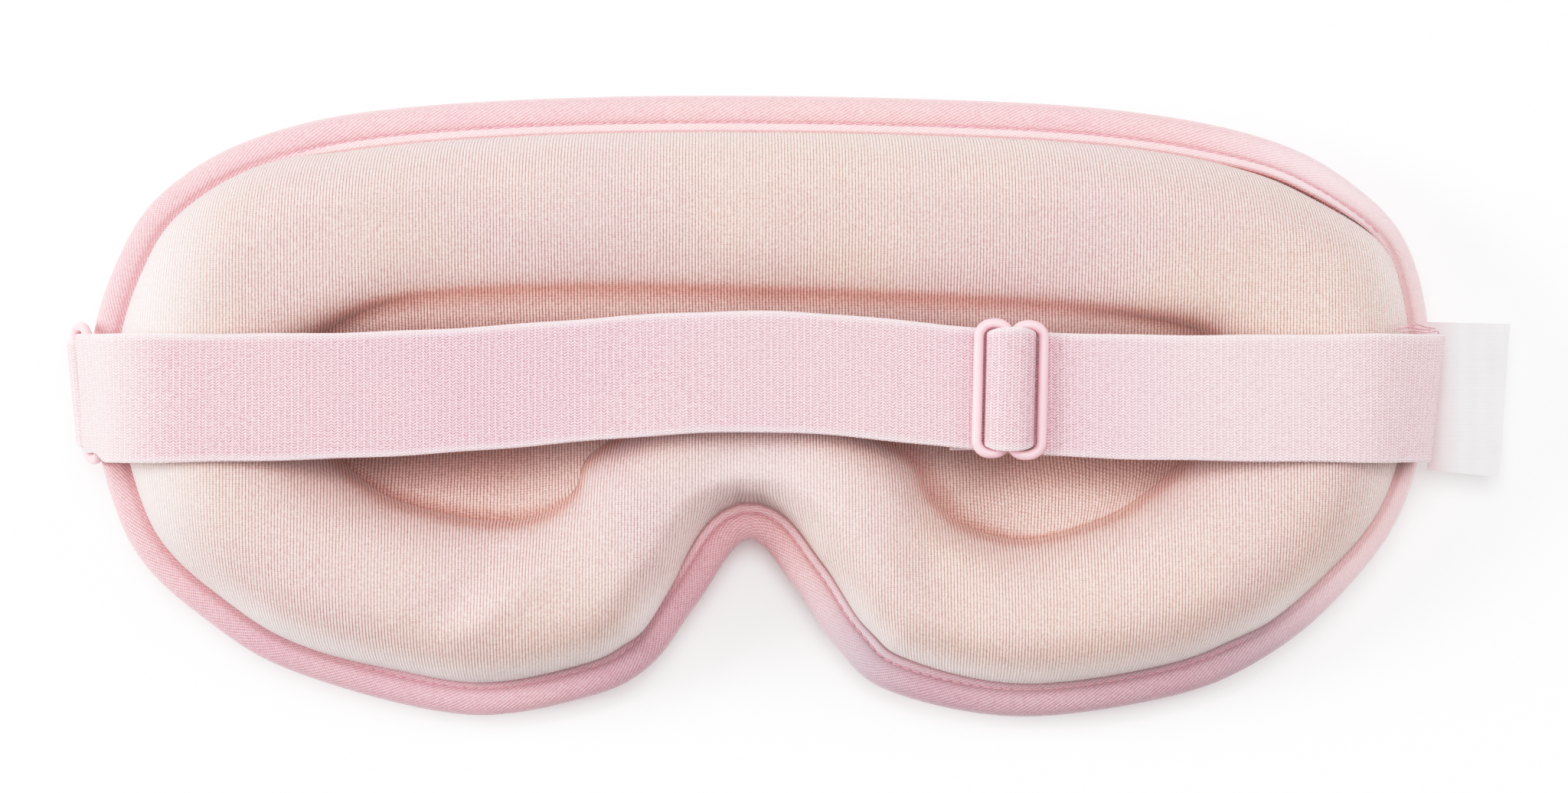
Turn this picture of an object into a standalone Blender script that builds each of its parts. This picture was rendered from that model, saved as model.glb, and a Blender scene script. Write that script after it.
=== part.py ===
"""Contoured sleep mask with an adjustable elastic strap, lying on its front, face side up.

Frame: metres, +Z up. The origin is the middle of the flat patch that the mask rests on.
+X runs along the mask, +Y points to the forehead edge and +Z points to the wearer's face.
"""

import math
from collections import namedtuple

import bmesh
import bpy
import numpy as np

MM = 0.001

# Driving dimensions
EDGE_HEIGHT = 9.4 * MM          # middle of the bound edge above the table, in the centre of the mask
END_LIFT = 3.0 * MM             # how much higher the bound edge sits at the two ends
LIFT_START = 55 * MM            # the ends start to lift this far from the middle
HALF_LENGTH = 113 * MM
CROWN_HEIGHT = 27.0 * MM        # top of the padded roll that touches the face
BRIDGE_DROP = 4.0 * MM          # the roll is this much lower over the nose bridge
BRIDGE_X = -3.0 * MM
BRIDGE_SPREAD = 15 * MM
FLOOR_HEIGHT = 10.4 * MM        # deepest floor of the two eye cups
FOREHEAD_FLOOR_RISE = 12 * MM   # how far the floor climbs towards the forehead
CHEEK_FLOOR_RISE = 6 * MM       # how far it climbs towards the cheeks
BRIDGE_FLOOR_RISE = 5 * MM      # how far it climbs towards the nose bridge
FOREHEAD_CLIMB = (-1 * MM, 19.5 * MM)   # these three climbs run between two places each
CHEEK_CLIMB = (2 * MM, 22 * MM)
BRIDGE_CLIMB = (14 * MM, 40 * MM)
BRIDGE_FADE = (0, 14 * MM)      # above the nose the bridge's climb dies out between these heights
FOREHEAD_SLOPE = (9 * MM, 15 * MM)      # the forehead wall turns gentle between these heights
FOREHEAD_CORNERS = (52 * MM, 74 * MM)   # and steep again between these distances from the middle
BRIDGE_SLOPE = (-4 * MM, 4 * MM)
BRIDGE_WALLS = ((-25 * MM, 9 * MM), (22 * MM, 9 * MM))      # place and spread of the gentle walls
RISE_INSET = 5.6 * MM           # the roll starts to rise this far inside the bound edge
CROWN_AT = 0.5                  # share of the roll's width at which it is highest
FLANK_POWER = 1.75              # roundness of the roll's outer flank
STEEP_POWER = 2.1               # roundness of the roll's wall into the eye cups
GENTLE_POWER = 2.4              # and where it slopes gently, at the forehead and the bridge
FRONT_FLAT_AT = 0.6             # share of the roll's width at which the front meets the table
GAP = 0.3 * MM                  # clearance between neighbouring pieces

COVER_THICKNESS = 0.9 * MM
FRONT_FOAM_THICKNESS = 2.6 * MM
BLACKOUT_THICKNESS = 0.5 * MM
LINING_THICKNESS = 0.9 * MM
EDGE_SHEET = 0.55 * MM          # cover and lining where the binding clamps them

BINDING_WIDTH = 5.0 * MM
BINDING_THICKNESS = 4.4 * MM
BINDING_SLOT = 2.4 * MM
BINDING_WALL = 1.2 * MM
BINDING_BULGE = 2.0 * MM
BINDING_LIP = 0.86              # height of the binding's lips as a share of its middle
THREAD_LINE = 0.78              # the thread runs at this share of the binding's width
THREAD_RADIUS = 0.25 * MM

STRAP_WIDTH = 20 * MM
STRAP_END_WIDTH = 21.5 * MM
STRAP_THICKNESS = 0.9 * MM
UNDER_Z = 27.9 * MM             # middle of the returning strap layer
BAND_Z = 29.15 * MM             # middle of the outer strap layer
BAND_END = 72 * MM              # half length of the straight middle of the strap
STRAP_Y = 1.4 * MM
STRAP_BOW = 4.4 * MM            # sideways bow of the strap in its middle
BOW_X = -2 * MM
BOW_SPREADS = (45 * MM, 36 * MM)        # reach of the bow to the left and to the right
RING_PINCH = 0.8 * MM           # the strap's lower edge gathers by twice this inside the ring
PINCH_FROM = 104 * MM           # the gathering runs between these distances from the middle
PINCH_TO = 112 * MM
UNDER_LAYER_INSET = 0.3 * MM    # the returning layer's edges hide under the outer layer's
FOLD_INSET = 0.4 * MM
FOLD_RADIUS = 1.62 * MM         # the strap's turn round the ring's inner bar
SEAM_FOLD = (113.6 * MM, 13.4 * MM)     # middle of the fold in the right seam
SEAM_FOLD_RADIUS = 1.35 * MM
RETURN_STOP = 3.5 * MM          # the returning layer stops this far before the slider's middle
LOOP_STRAP_THICKNESS = 0.6 * MM
LOOP_END_THICKNESS = 0.7 * MM
LOOP_END_WIDTH = 19.6 * MM
LOOP_END_LENGTH = 9.8 * MM      # the sewn loop's cut end reaches this far left of the slider
LOOP_END_LOW = 10.1 * MM        # and this far below the slider's middle
LOOP_INSET = 0.2 * MM
BAR_LOOP_HALF_WIDTH = 1.85 * MM
BAR_LOOP_HEIGHT = 2.25 * MM
LOOP_STITCH_X = 3.2 * MM        # the zigzag runs this far inside the cut end
STITCH_PITCH = 1.2 * MM
TAB_THICKNESS = 0.5 * MM
TAB_HALF_WIDTH = 9 * MM
TAB_ROOT_X = -114.45 * MM       # both layers of the tab enter the left seam here
TAB_LAYERS = (0.9 * MM, -1.15 * MM)     # their heights there, from the ring's outer bar

WIRE_RADIUS = 0.85 * MM         # moulded bars of the slider and the ring
LOOP_HALF_WIDTH = 2.5 * MM
LOOP_HALF_HEIGHT = 10.9 * MM
LOOP_END = 2.3 * MM             # length of a loop's rounded end
SLIDER_X = 40 * MM
SLIDER_Y = 2.9 * MM
SLIDER_Z = BAND_Z + STRAP_THICKNESS / 2 + GAP + WIRE_RADIUS
TWIN_OFFSET = 0.35 * MM         # each loop's inner bar sits this far from the slider's middle
HUMP_HALF_WIDTH = 4.05 * MM
HUMP_HEIGHT = 3.9 * MM
HUMP_STRAP_HALF = 9.7 * MM      # half width of the strap where it goes through the slider

RING_Y = 2.3 * MM
RING_HALF_HEIGHT = 11.2 * MM
RING_END = 1.9 * MM
RING_OUTER_BAR = (-116.3 * MM, 12.6 * MM)
RING_INNER_BAR = (-113.6 * MM, 16.6 * MM)

LABEL_ROOT_X = 113.6 * MM
LABEL_END_X = 126.6 * MM
LABEL_SLANT = 2.0 * MM
LABEL_TOP_Y = 14.2 * MM
LABEL_BOTTOM_Y = -11.4 * MM
LABEL_Z = 9.6 * MM
LABEL_THICKNESS = 0.4 * MM

STEPS_PER_POINT = 2             # samples between two control points of the outline
EDGE_RINGS = (1.7 * MM, RISE_INSET, 7.5 * MM, 10.6 * MM)    # rings near the edge, by their inset
ROLL_RINGS = (CROWN_AT, 0.76, 0.94, 1.0)                    # rings further in, by share of the roll
FOAM_RING = 2                   # the foam layers start at this ring
FLOOR_STEPS = 4                 # rows across the eye cups
LEFT_END = 11                   # the outline's control point at the left end

# (x, z) points in millimetres where the strap drops over the mask's two ends: the outer layer and
# the returning layer at the left, and the single layer at the right.
LEFT_DROP = [(-100, 28.5), (-107.5, 25.4), (-112.3, 21), (-115.3, 18)]
LEFT_RETURN = [(-111.85, 17.8), (-109.2, 21.4), (-105.4, 24.8), (-99, 27.2)]
RIGHT_DROP = [(100, 28.3), (107.5, 24.8), (112, 20), (114.4, 15.6)]
DROP_START = 90 * MM

# Outline of the mask and of the crease round the eye recess, in millimetres, point for point,
# anticlockwise from the wearer's left-hand end.
OUTLINE = [
    (112.6, 4), (109.5, 25.6), (99.9, 37.5), (84.4, 45.7), (58.4, 50.6), (20, 52.5), (-24, 52.7),
    (-61, 50.8), (-82, 47), (-97.4, 39.8), (-107.7, 28.3), (-113.9, 6), (-107.7, -22.1),
    (-92.2, -37.9), (-76.6, -46.1), (-50.6, -52.3), (-29.9, -49.2), (-19.5, -43.9), (-11.7, -33.5),
    (-3.2, -22.6), (4.6, -30.2), (11.7, -40.5), (20.8, -48.3), (42.8, -52.7), (68.8, -49.3),
    (84.4, -42.8), (97.3, -32.2), (107.9, -17.2),
]
CREASE = [
    (77.5, 2), (76.5, 8.5), (73, 12.6), (65, 14.6), (48, 16.6), (18, 18.2), (-20, 19.4),
    (-48, 18.9), (-62, 17.4), (-70, 14.6), (-76, 10.2), (-78.5, 3.5), (-73.5, -6.5),
    (-66.5, -13.3), (-59, -16.6), (-47, -19), (-38, -18.2), (-32, -13.8), (-27.5, -6.5),
    (-3, 3.5), (21.5, -6.5), (27.5, -15), (33.5, -20), (44, -22.2), (56.5, -18.8),
    (64, -14.4), (70.5, -9), (75.3, -3.8),
]


def clear_scene():
    for item in list(bpy.data.objects):
        bpy.data.objects.remove(item, do_unlink=True)


def material(name, colour, roughness, metallic=0.0):
    made = bpy.data.materials.new(name)
    made.use_nodes = True
    shader = made.node_tree.nodes["Principled BSDF"]
    shader.inputs["Base Color"].default_value = (*colour, 1.0)
    shader.inputs["Roughness"].default_value = roughness
    shader.inputs["Metallic"].default_value = metallic
    return made


def add_mesh(name, points, faces, mat, smooth=True):
    """A named object with outward faces, its origin at the world origin."""
    mesh = bpy.data.meshes.new(name)
    mesh.from_pydata([tuple(p) for p in points], [], faces)
    work = bmesh.new()
    work.from_mesh(mesh)
    bmesh.ops.recalc_face_normals(work, faces=work.faces)
    work.to_mesh(mesh)
    work.free()
    if smooth:
        mesh.shade_smooth()
        mesh.set_sharp_from_angle(angle=math.radians(50))
    made = bpy.data.objects.new(name, mesh)
    made.data.materials.append(mat)
    bpy.context.scene.collection.objects.link(made)
    return made


def closed_spline(points, steps):
    """Catmull-Rom curve through a closed ring of 2-D points, with equal steps per span."""
    ring = np.array(points, float) * MM
    samples = []
    for i in range(len(ring)):
        a, b, c, d = (ring[(i + k - 1) % len(ring)] for k in range(4))
        for s in range(steps):
            t = s / steps
            samples.append(
                0.5 * (2 * b + (c - a) * t + (2 * a - 5 * b + 4 * c - d) * t**2
                       + (3 * b - a - 3 * c + d) * t**3)
            )
    return np.array(samples)


def open_spline(points, steps):
    """Catmull-Rom curve through an open run of points."""
    run = np.array([2 * np.array(points[0]) - points[1], *points, 2 * np.array(points[-1]) - points[-2]])
    samples = []
    for i in range(1, len(run) - 2):
        a, b, c, d = run[i - 1:i + 3]
        for s in range(steps):
            t = s / steps
            samples.append(
                0.5 * (2 * b + (c - a) * t + (2 * a - 5 * b + 4 * c - d) * t**2
                       + (3 * b - a - 3 * c + d) * t**3)
            )
    samples.append(run[-2])
    return np.array(samples)


def end_lift(x):
    reach = np.clip((abs(x) - LIFT_START) / (HALF_LENGTH - LIFT_START), 0, 1.1)
    return END_LIFT * reach**2


def rounded(share, power):
    """0 to 1 with a steep start and a level end."""
    return (1 - (1 - np.clip(share, 0, 1)) ** power) ** (1 / power)


def smooth(x, low, high):
    """0 below low, 1 above high, and a smooth step between them."""
    t = min(1.0, max(0.0, (x - low) / (high - low)))
    return t * t * (3 - 2 * t)


def bump(x, centre, width):
    return math.exp(-(((x - centre) / width) ** 2))


def crown(x, y):
    """Height of the roll's top, lower over the nose bridge."""
    if y > 0:
        return CROWN_HEIGHT
    return CROWN_HEIGHT - BRIDGE_DROP * bump(x, BRIDGE_X, BRIDGE_SPREAD)


def floor_height(x, y):
    """The recess is deepest at the eyes and climbs towards forehead, cheeks and nose bridge."""
    bridge = (1 - smooth(abs(x - BRIDGE_X), *BRIDGE_CLIMB)) * (1 - smooth(y, *BRIDGE_FADE))
    return (FLOOR_HEIGHT + FOREHEAD_FLOOR_RISE * smooth(y, *FOREHEAD_CLIMB)
            + CHEEK_FLOOR_RISE * smooth(-y, *CHEEK_CLIMB) + BRIDGE_FLOOR_RISE * bridge)


def wall(share, x, y):
    """How high the wall of the recess stands, from 0 at the crease to 1 at the crown."""
    forehead = smooth(y, *FOREHEAD_SLOPE) * (1 - smooth(abs(x - BOW_X), *FOREHEAD_CORNERS))
    bridge = smooth(-y, *BRIDGE_SLOPE) * sum(bump(x, *side) for side in BRIDGE_WALLS)
    gentle = min(1.0, forehead + bridge)
    steep = rounded(share, STEEP_POWER)
    return steep + (1 - (1 - share) ** GENTLE_POWER - steep) * gentle


Spot = namedtuple("Spot", "x y share inset")


class Padding:
    """The plan that all the mask's layers share: rings across the roll, then rows across the cups."""

    def __init__(self):
        self.outer = closed_spline(OUTLINE, STEPS_PER_POINT)
        self.inner = closed_spline(CREASE, STEPS_PER_POINT)
        self.width = np.linalg.norm(self.inner - self.outer, axis=1)
        self.count = len(self.outer)

    def rings(self):
        """Rings of (points, share of the way to the crease), square to the outline near the edge."""
        inward = -ring_frames(self.outer)
        near = [(self.outer + inward * inset, inset / self.width) for inset in EDGE_RINGS]
        far = [(self.outer + (self.inner - self.outer) * share, np.full(self.count, share))
               for share in ROLL_RINGS]
        return near + far

    def plan(self, first):
        """Spots and triangles of one layer that starts at ring number first."""
        spots = []
        faces = []
        rings = self.rings()[first:]
        n = self.count
        for points, shares in rings:
            for (x, y), share, width in zip(points, shares, self.width):
                spots.append(Spot(x, y, share, share * width))
        for k in range(len(rings) - 1):
            for i in range(n):
                j = (i + 1) % n
                near, near_next, far_next, far = k * n + i, k * n + j, (k + 1) * n + j, (k + 1) * n + i
                faces += [(near, near_next, far_next), (near, far_next, far)]
        # The crease ring is closed by rows that join opposite samples across the recess.
        base = (len(rings) - 1) * n
        half = n // 2
        start = STEPS_PER_POINT * LEFT_END - half
        crease = [base + (start + i) % n for i in range(n)]
        columns = [[crease[0]] * (FLOOR_STEPS + 1)]
        for i in range(1, half):
            a, b = crease[i], crease[n - i]
            column = [a]
            for s in range(1, FLOOR_STEPS):
                t = s / FLOOR_STEPS
                x = spots[a].x + (spots[b].x - spots[a].x) * t
                y = spots[a].y + (spots[b].y - spots[a].y) * t
                spots.append(Spot(x, y, 1.0, spots[a].inset))
                column.append(len(spots) - 1)
            columns.append([*column, b])
        columns.append([crease[half]] * (FLOOR_STEPS + 1))
        for one, two in zip(columns, columns[1:]):
            for s in range(FLOOR_STEPS):
                faces += [(one[s], two[s], two[s + 1]), (one[s], two[s + 1], one[s + 1])]
        faces = [face for face in faces if len(set(face)) == 3]
        return spots, faces


def face_height(spot):
    """The lining's outer surface: level under the binding, then the roll, then the cup floor."""
    edge = EDGE_HEIGHT + end_lift(spot.x) + GAP / 2 + EDGE_SHEET
    top = crown(spot.x, spot.y)
    if spot.share <= CROWN_AT:
        crown_inset = CROWN_AT * spot.inset / spot.share
        rise = (spot.inset - RISE_INSET) / (crown_inset - RISE_INSET)
        return edge + (top - edge) * rounded(rise, FLANK_POWER)
    floor = floor_height(spot.x, spot.y)
    return floor + (top - floor) * wall((1 - spot.share) / (1 - CROWN_AT), spot.x, spot.y)


def front_height(spot):
    """The front cover's outer surface, flat where it meets the table."""
    edge = EDGE_HEIGHT + end_lift(spot.x) - GAP / 2 - EDGE_SHEET
    flat_inset = FRONT_FLAT_AT * spot.inset / spot.share
    fall = (spot.inset - RISE_INSET) / (flat_inset - RISE_INSET)
    return edge * (1 - rounded(fall, FLANK_POWER))


def add_layer(name, padding, first, bottom, top, mat):
    """A closed layer between two height functions of a spot."""
    spots, faces = padding.plan(first)
    low = [(spot.x, spot.y, bottom(spot)) for spot in spots]
    high = [(spot.x, spot.y, top(spot)) for spot in spots]
    count = len(spots)
    sheet = [tuple(reversed(f)) for f in faces]
    lid = [tuple(i + count for i in f) for f in faces]
    n = padding.count
    rim = [(i, (i + 1) % n, (i + 1) % n + count, i + count) for i in range(n)]
    return add_mesh(name, low + high, sheet + lid + rim, mat)


def build_layers(padding, mats):
    def grown(spot, full):
        """A sheet's thickness: thin where the binding clamps it, full further in."""
        share = (spot.inset - EDGE_RINGS[1]) / (EDGE_RINGS[2] - EDGE_RINGS[1])
        return EDGE_SHEET + (full - EDGE_SHEET) * min(1.0, max(0.0, share))

    def cover_top(spot):
        return front_height(spot) + grown(spot, COVER_THICKNESS)

    def foam_top(spot):
        return cover_top(spot) + GAP + FRONT_FOAM_THICKNESS

    def blackout_top(spot):
        return foam_top(spot) + GAP + BLACKOUT_THICKNESS

    def lining_low(spot):
        return face_height(spot) - grown(spot, LINING_THICKNESS)

    add_layer("front_cover", padding, 0, front_height, cover_top, mats["cover"])
    add_layer("front_foam", padding, FOAM_RING, lambda spot: cover_top(spot) + GAP, foam_top,
              mats["foam"])
    add_layer("blackout_layer", padding, FOAM_RING, lambda spot: foam_top(spot) + GAP, blackout_top,
              mats["blackout"])
    add_layer("face_foam", padding, FOAM_RING, lambda spot: blackout_top(spot) + GAP,
              lambda spot: lining_low(spot) - GAP, mats["foam"])
    add_layer("face_lining", padding, 0, lining_low, face_height, mats["lining"])


def ring_frames(path):
    """Unit outward normals, in plan, of an anticlockwise closed path."""
    ahead = np.roll(path, -1, axis=0) - np.roll(path, 1, axis=0)
    ahead /= np.linalg.norm(ahead, axis=1)[:, None]
    return np.column_stack([ahead[:, 1], -ahead[:, 0]])


def sweep_closed(name, path, profile, mat):
    """Sweep a closed profile of (outward, up) points round the bound edge."""
    out = ring_frames(path)
    points = []
    for (x, y), (nx, ny) in zip(path, out):
        z = EDGE_HEIGHT + end_lift(x)
        points += [(x + nx * a, y + ny * a, z + b) for a, b in profile]
    n, m = len(path), len(profile)
    faces = []
    for i in range(n):
        j = (i + 1) % n
        for k in range(m):
            q = (k + 1) % m
            faces.append((i * m + k, j * m + k, j * m + q, i * m + q))
    return add_mesh(name, points, faces, mat)


def build_binding(padding, mats):
    """Folded tape round the edge: a rounded outer wall with a slot that clamps cover and lining."""
    path = padding.outer
    half = BINDING_THICKNESS / 2
    arc = [math.radians(a) for a in (90, 50, 18, -18, -50, -90)]
    profile = [(BINDING_BULGE * (math.cos(a) - 1), half * math.sin(a)) for a in arc]
    lip = -BINDING_WIDTH
    slot_end = -BINDING_WALL
    slot = BINDING_SLOT / 2
    profile += [(lip, -half * BINDING_LIP), (lip, -slot), (slot_end, -slot), (slot_end, slot),
                (lip, slot), (lip, half * BINDING_LIP)]
    sweep_closed("edge_binding", path, profile, mats["satin"])
    seam = half + THREAD_RADIUS + 0.05 * MM
    inset = -BINDING_WIDTH * THREAD_LINE
    r = THREAD_RADIUS
    thread = [(inset + r, seam), (inset, seam + r), (inset - r, seam), (inset, seam - r * 0.8)]
    sweep_closed("binding_thread", path, thread, mats["thread"])


def ring_pinch(x):
    return RING_PINCH * smooth(-x, PINCH_FROM, PINCH_TO)


def strap_centre(x):
    """Sideways place of the strap's middle line."""
    spread = BOW_SPREADS[1] if x > BOW_X else BOW_SPREADS[0]
    return STRAP_Y + STRAP_BOW * bump(x, BOW_X, spread) + ring_pinch(x)


def strap_half_width(x):
    wide = (STRAP_END_WIDTH - STRAP_WIDTH) * min(1.0, abs(x) / HALF_LENGTH) ** 1.5
    return (STRAP_WIDTH + wide) / 2 - ring_pinch(x)


def strap_edges(x, inset=0.0):
    half = strap_half_width(x) - inset
    return strap_centre(x) - half, strap_centre(x) + half


def add_swept(name, sections, mat, smooth=True):
    """A closed body through four-cornered sections."""
    last = len(sections) - 1
    faces = [(0, 1, 2, 3), (4 * last + 3, 4 * last + 2, 4 * last + 1, 4 * last)]
    for i in range(last):
        for k in range(4):
            q = (k + 1) % 4
            faces.append((4 * i + k, 4 * i + 4 + k, 4 * i + 4 + q, 4 * i + q))
    return add_mesh(name, [p for section in sections for p in section], faces, mat, smooth)


def add_strip(name, path, thickness, edges, mat):
    """A strip of webbing along (x, z) points; edges(x) gives its two Y values."""
    path = np.array(path)
    ahead = np.gradient(path, axis=0)
    ahead /= np.linalg.norm(ahead, axis=1)[:, None]
    sections = []
    for (x, z), (dx, dz) in zip(path, ahead):
        nx, nz = -dz * thickness / 2, dx * thickness / 2
        low, high = edges(x)
        sections.append([(x + nx, low, z + nz), (x + nx, high, z + nz),
                         (x - nx, high, z - nz), (x - nx, low, z - nz)])
    return add_swept(name, sections, mat)


def arc(centre, radius, start, stop, count):
    """(x, z) points on a circle, angles in degrees."""
    angles = np.radians(np.linspace(start, stop, count))
    return [(centre[0] + radius * math.cos(a), centre[1] + radius * math.sin(a)) for a in angles]


def metres(points):
    return [(x * MM, z * MM) for x, z in points]


def build_straps(mats):
    elastic = mats["elastic"]
    seam = GAP / 2
    level = [(x, BAND_Z) for x in np.linspace(-BAND_END + seam, BAND_END - seam, 25)]
    add_strip("strap_band", level, STRAP_THICKNESS, strap_edges, elastic)
    under = [(x, UNDER_Z) for x in np.linspace(-BAND_END + seam, SLIDER_X - RETURN_STOP, 19)]
    add_strip("strap_return", under, STRAP_THICKNESS,
              lambda x: strap_edges(x, UNDER_LAYER_INSET), elastic)

    # Left end: down over the roll, round the ring's inner bar and back underneath.
    upper = open_spline([(-BAND_END - seam, BAND_Z), (-DROP_START, BAND_Z), *metres(LEFT_DROP)], 3)
    turn = arc(RING_INNER_BAR, FOLD_RADIUS, 190, 330, 6)
    lower = open_spline([*metres(LEFT_RETURN), (-DROP_START, UNDER_Z), (-BAND_END - seam, UNDER_Z)], 3)
    add_strip("strap_ring_fold", [*upper, *turn, *lower], STRAP_THICKNESS,
              lambda x: strap_edges(x, FOLD_INSET), elastic)

    # Right end: down over the roll to the seam, where it folds under.
    ends = open_spline([(BAND_END + seam, BAND_Z), (DROP_START, BAND_Z), *metres(RIGHT_DROP)], 3)
    fold = arc(SEAM_FOLD, SEAM_FOLD_RADIUS, 30, -80, 6)
    add_strip("strap_seam_end", [*ends, *fold], STRAP_THICKNESS, strap_edges, elastic)


def wire_loop(centre, half_width, half_height, end, lean=0.0):
    """Centre line of a moulded loop with straight bars and rounded ends that are end long."""
    cx, cy, cz = centre
    line = []
    for k in range(32):
        a = 2 * math.pi * (k + 0.5) / 32
        x = half_width * math.copysign(abs(math.cos(a)) ** 0.75, math.cos(a))
        y = end * math.copysign(abs(math.sin(a)) ** 0.8, math.sin(a))
        y += math.copysign(half_height - end, y)
        line.append((cx + x * math.cos(lean), cy + y, cz + x * math.sin(lean)))
    return line


def add_wire(name, line, mat, sides=8):
    """A closed round bar along a flat loop."""
    path = np.array(line)
    ahead = np.roll(path, -1, axis=0) - np.roll(path, 1, axis=0)
    ahead /= np.linalg.norm(ahead, axis=1)[:, None]
    up = np.cross(path[8] - path[0], path[16] - path[0])
    up /= np.linalg.norm(up)
    points = []
    for p, t in zip(path, ahead):
        side = np.cross(t, up)
        for k in range(sides):
            a = 2 * math.pi * (k + 0.5) / sides
            points.append(p + WIRE_RADIUS * (math.cos(a) * side + math.sin(a) * up))
    n = len(path)
    faces = []
    for i in range(n):
        j = (i + 1) % n
        for k in range(sides):
            q = (k + 1) % sides
            faces.append((i * sides + k, j * sides + k, j * sides + q, i * sides + q))
    return add_mesh(name, points, faces, mat)


def build_slider(mats):
    """Two moulded loops that share a centre bar."""
    plastic = mats["plastic"]
    reach = TWIN_OFFSET + LOOP_HALF_WIDTH
    right, left = (
        add_wire(name, wire_loop((SLIDER_X + side * reach, SLIDER_Y, SLIDER_Z), LOOP_HALF_WIDTH,
                                 LOOP_HALF_HEIGHT, LOOP_END), plastic)
        for name, side in (("slider_frame", 1), ("slider_left_loop", -1))
    )
    left.hide_render = True
    left.display_type = "WIRE"
    join = right.modifiers.new("shared_bar", "BOOLEAN")
    join.operation = "UNION"
    join.object = left
    join.solver = "EXACT"


def arch(half_width, height, base, power):
    """Upside-down U of (x, z) points over the slider's centre bar."""
    line = []
    for k in range(13):
        a = math.pi * k / 12
        x = half_width * math.copysign(abs(math.cos(a)) ** power, math.cos(a))
        line.append((SLIDER_X + x, base + height * math.sin(a) ** power))
    return line


def build_crossing(mats):
    """What the slider carries: the strap's hump, the loop sewn round its bar and the loop's cut end."""
    elastic = mats["elastic"]
    base = BAND_Z + STRAP_THICKNESS / 2 + GAP
    half = STRAP_THICKNESS / 2
    low, high = SLIDER_Y - HUMP_STRAP_HALF, SLIDER_Y + HUMP_STRAP_HALF
    add_strip("strap_crossing", arch(HUMP_HALF_WIDTH - half, HUMP_HEIGHT - half, base, 0.8),
              STRAP_THICKNESS, lambda x: (low, high), elastic)
    add_strip("strap_bar_loop", arch(BAR_LOOP_HALF_WIDTH, BAR_LOOP_HEIGHT, base, 0.7),
              LOOP_STRAP_THICKNESS, lambda x: (low + LOOP_INSET, high - LOOP_INSET), elastic)
    leg_z = UNDER_Z - STRAP_THICKNESS / 2 - GAP - LOOP_END_THICKNESS / 2
    cut_x = SLIDER_X - LOOP_END_LENGTH
    edge = SLIDER_Y - LOOP_END_LOW
    add_strip("strap_loop_end", [(cut_x, leg_z), (SLIDER_X + 1 * MM, leg_z)], LOOP_END_THICKNESS,
              lambda x: (edge, edge + LOOP_END_WIDTH), elastic)
    stitch_z = leg_z - LOOP_END_THICKNESS / 2 - THREAD_RADIUS - 0.07 * MM
    start = (cut_x + LOOP_STITCH_X, edge + STITCH_PITCH, stitch_z)
    add_zigzag("loop_stitches", start, 15, 1.4 * MM, mats["thread"])


def add_zigzag(name, start, count, swing, mat):
    """A row of zigzag stitches as one thread, running along Y and swinging along X."""
    r = THREAD_RADIUS
    x, y, z = start
    path = np.array([(x + swing * (k % 2 - 0.5), y + STITCH_PITCH * k, z) for k in range(count)])
    ahead = np.gradient(path, axis=0)
    ahead /= np.linalg.norm(ahead, axis=1)[:, None]
    up = np.array((0, 0, 1.0))
    sections = []
    for p, t in zip(path, ahead):
        side = np.cross(t, up)
        sections.append([p + side * r, p + up * r, p - side * r, p - up * r])
    return add_swept(name, sections, mat, smooth=False)


def build_ring(mats):
    """Moulded ring at the left seam and the short tab that holds it."""
    ox, oz = RING_OUTER_BAR
    ix, iz = RING_INNER_BAR
    lean = math.atan2(iz - oz, ix - ox)
    half = math.hypot(ix - ox, iz - oz) / 2
    centre = ((ox + ix) / 2, RING_Y, (oz + iz) / 2)
    add_wire("strap_ring", wire_loop(centre, half, RING_HALF_HEIGHT, RING_END, lean), mats["plastic"])
    radius = WIRE_RADIUS + GAP + 0.3 * MM
    upper, lower = ((TAB_ROOT_X, oz + height) for height in TAB_LAYERS)
    tab = [upper, *arc((ox, oz), radius, 60, 290, 10), lower]
    add_strip("ring_tab", tab, TAB_THICKNESS, lambda x: (RING_Y - TAB_HALF_WIDTH, RING_Y + TAB_HALF_WIDTH),
              mats["elastic"])


def build_label(mats):
    """Folded satin care label sewn into the right seam."""
    root, far = LABEL_ROOT_X, LABEL_END_X
    z = LABEL_Z
    corners = [(root, LABEL_BOTTOM_Y), (far - LABEL_SLANT, LABEL_BOTTOM_Y), (far, LABEL_TOP_Y),
               (root, LABEL_TOP_Y)]
    half = LABEL_THICKNESS / 2
    points = [(x - root, y, -half) for x, y in corners] + [(x - root, y, half) for x, y in corners]
    faces = [(3, 2, 1, 0), (4, 5, 6, 7)] + [(k, (k + 1) % 4, (k + 1) % 4 + 4, k + 4) for k in range(4)]
    label = add_mesh("care_label", points, faces, mats["label"], smooth=False)
    label.location = (root, 0, z)


def build_tacks(mats):
    """Rows of stitches that hold the strap's ends and the tab in the seams."""
    z = EDGE_HEIGHT + END_LIFT + BINDING_THICKNESS / 2 + THREAD_RADIUS + 0.1 * MM
    add_zigzag("seam_tack_right", (110.4 * MM, -7.5 * MM, z), 15, 1.2 * MM, mats["thread"])
    add_zigzag("seam_tack_left", (-111 * MM, -5.5 * MM, z), 12, 0.9 * MM, mats["thread"])


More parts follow.
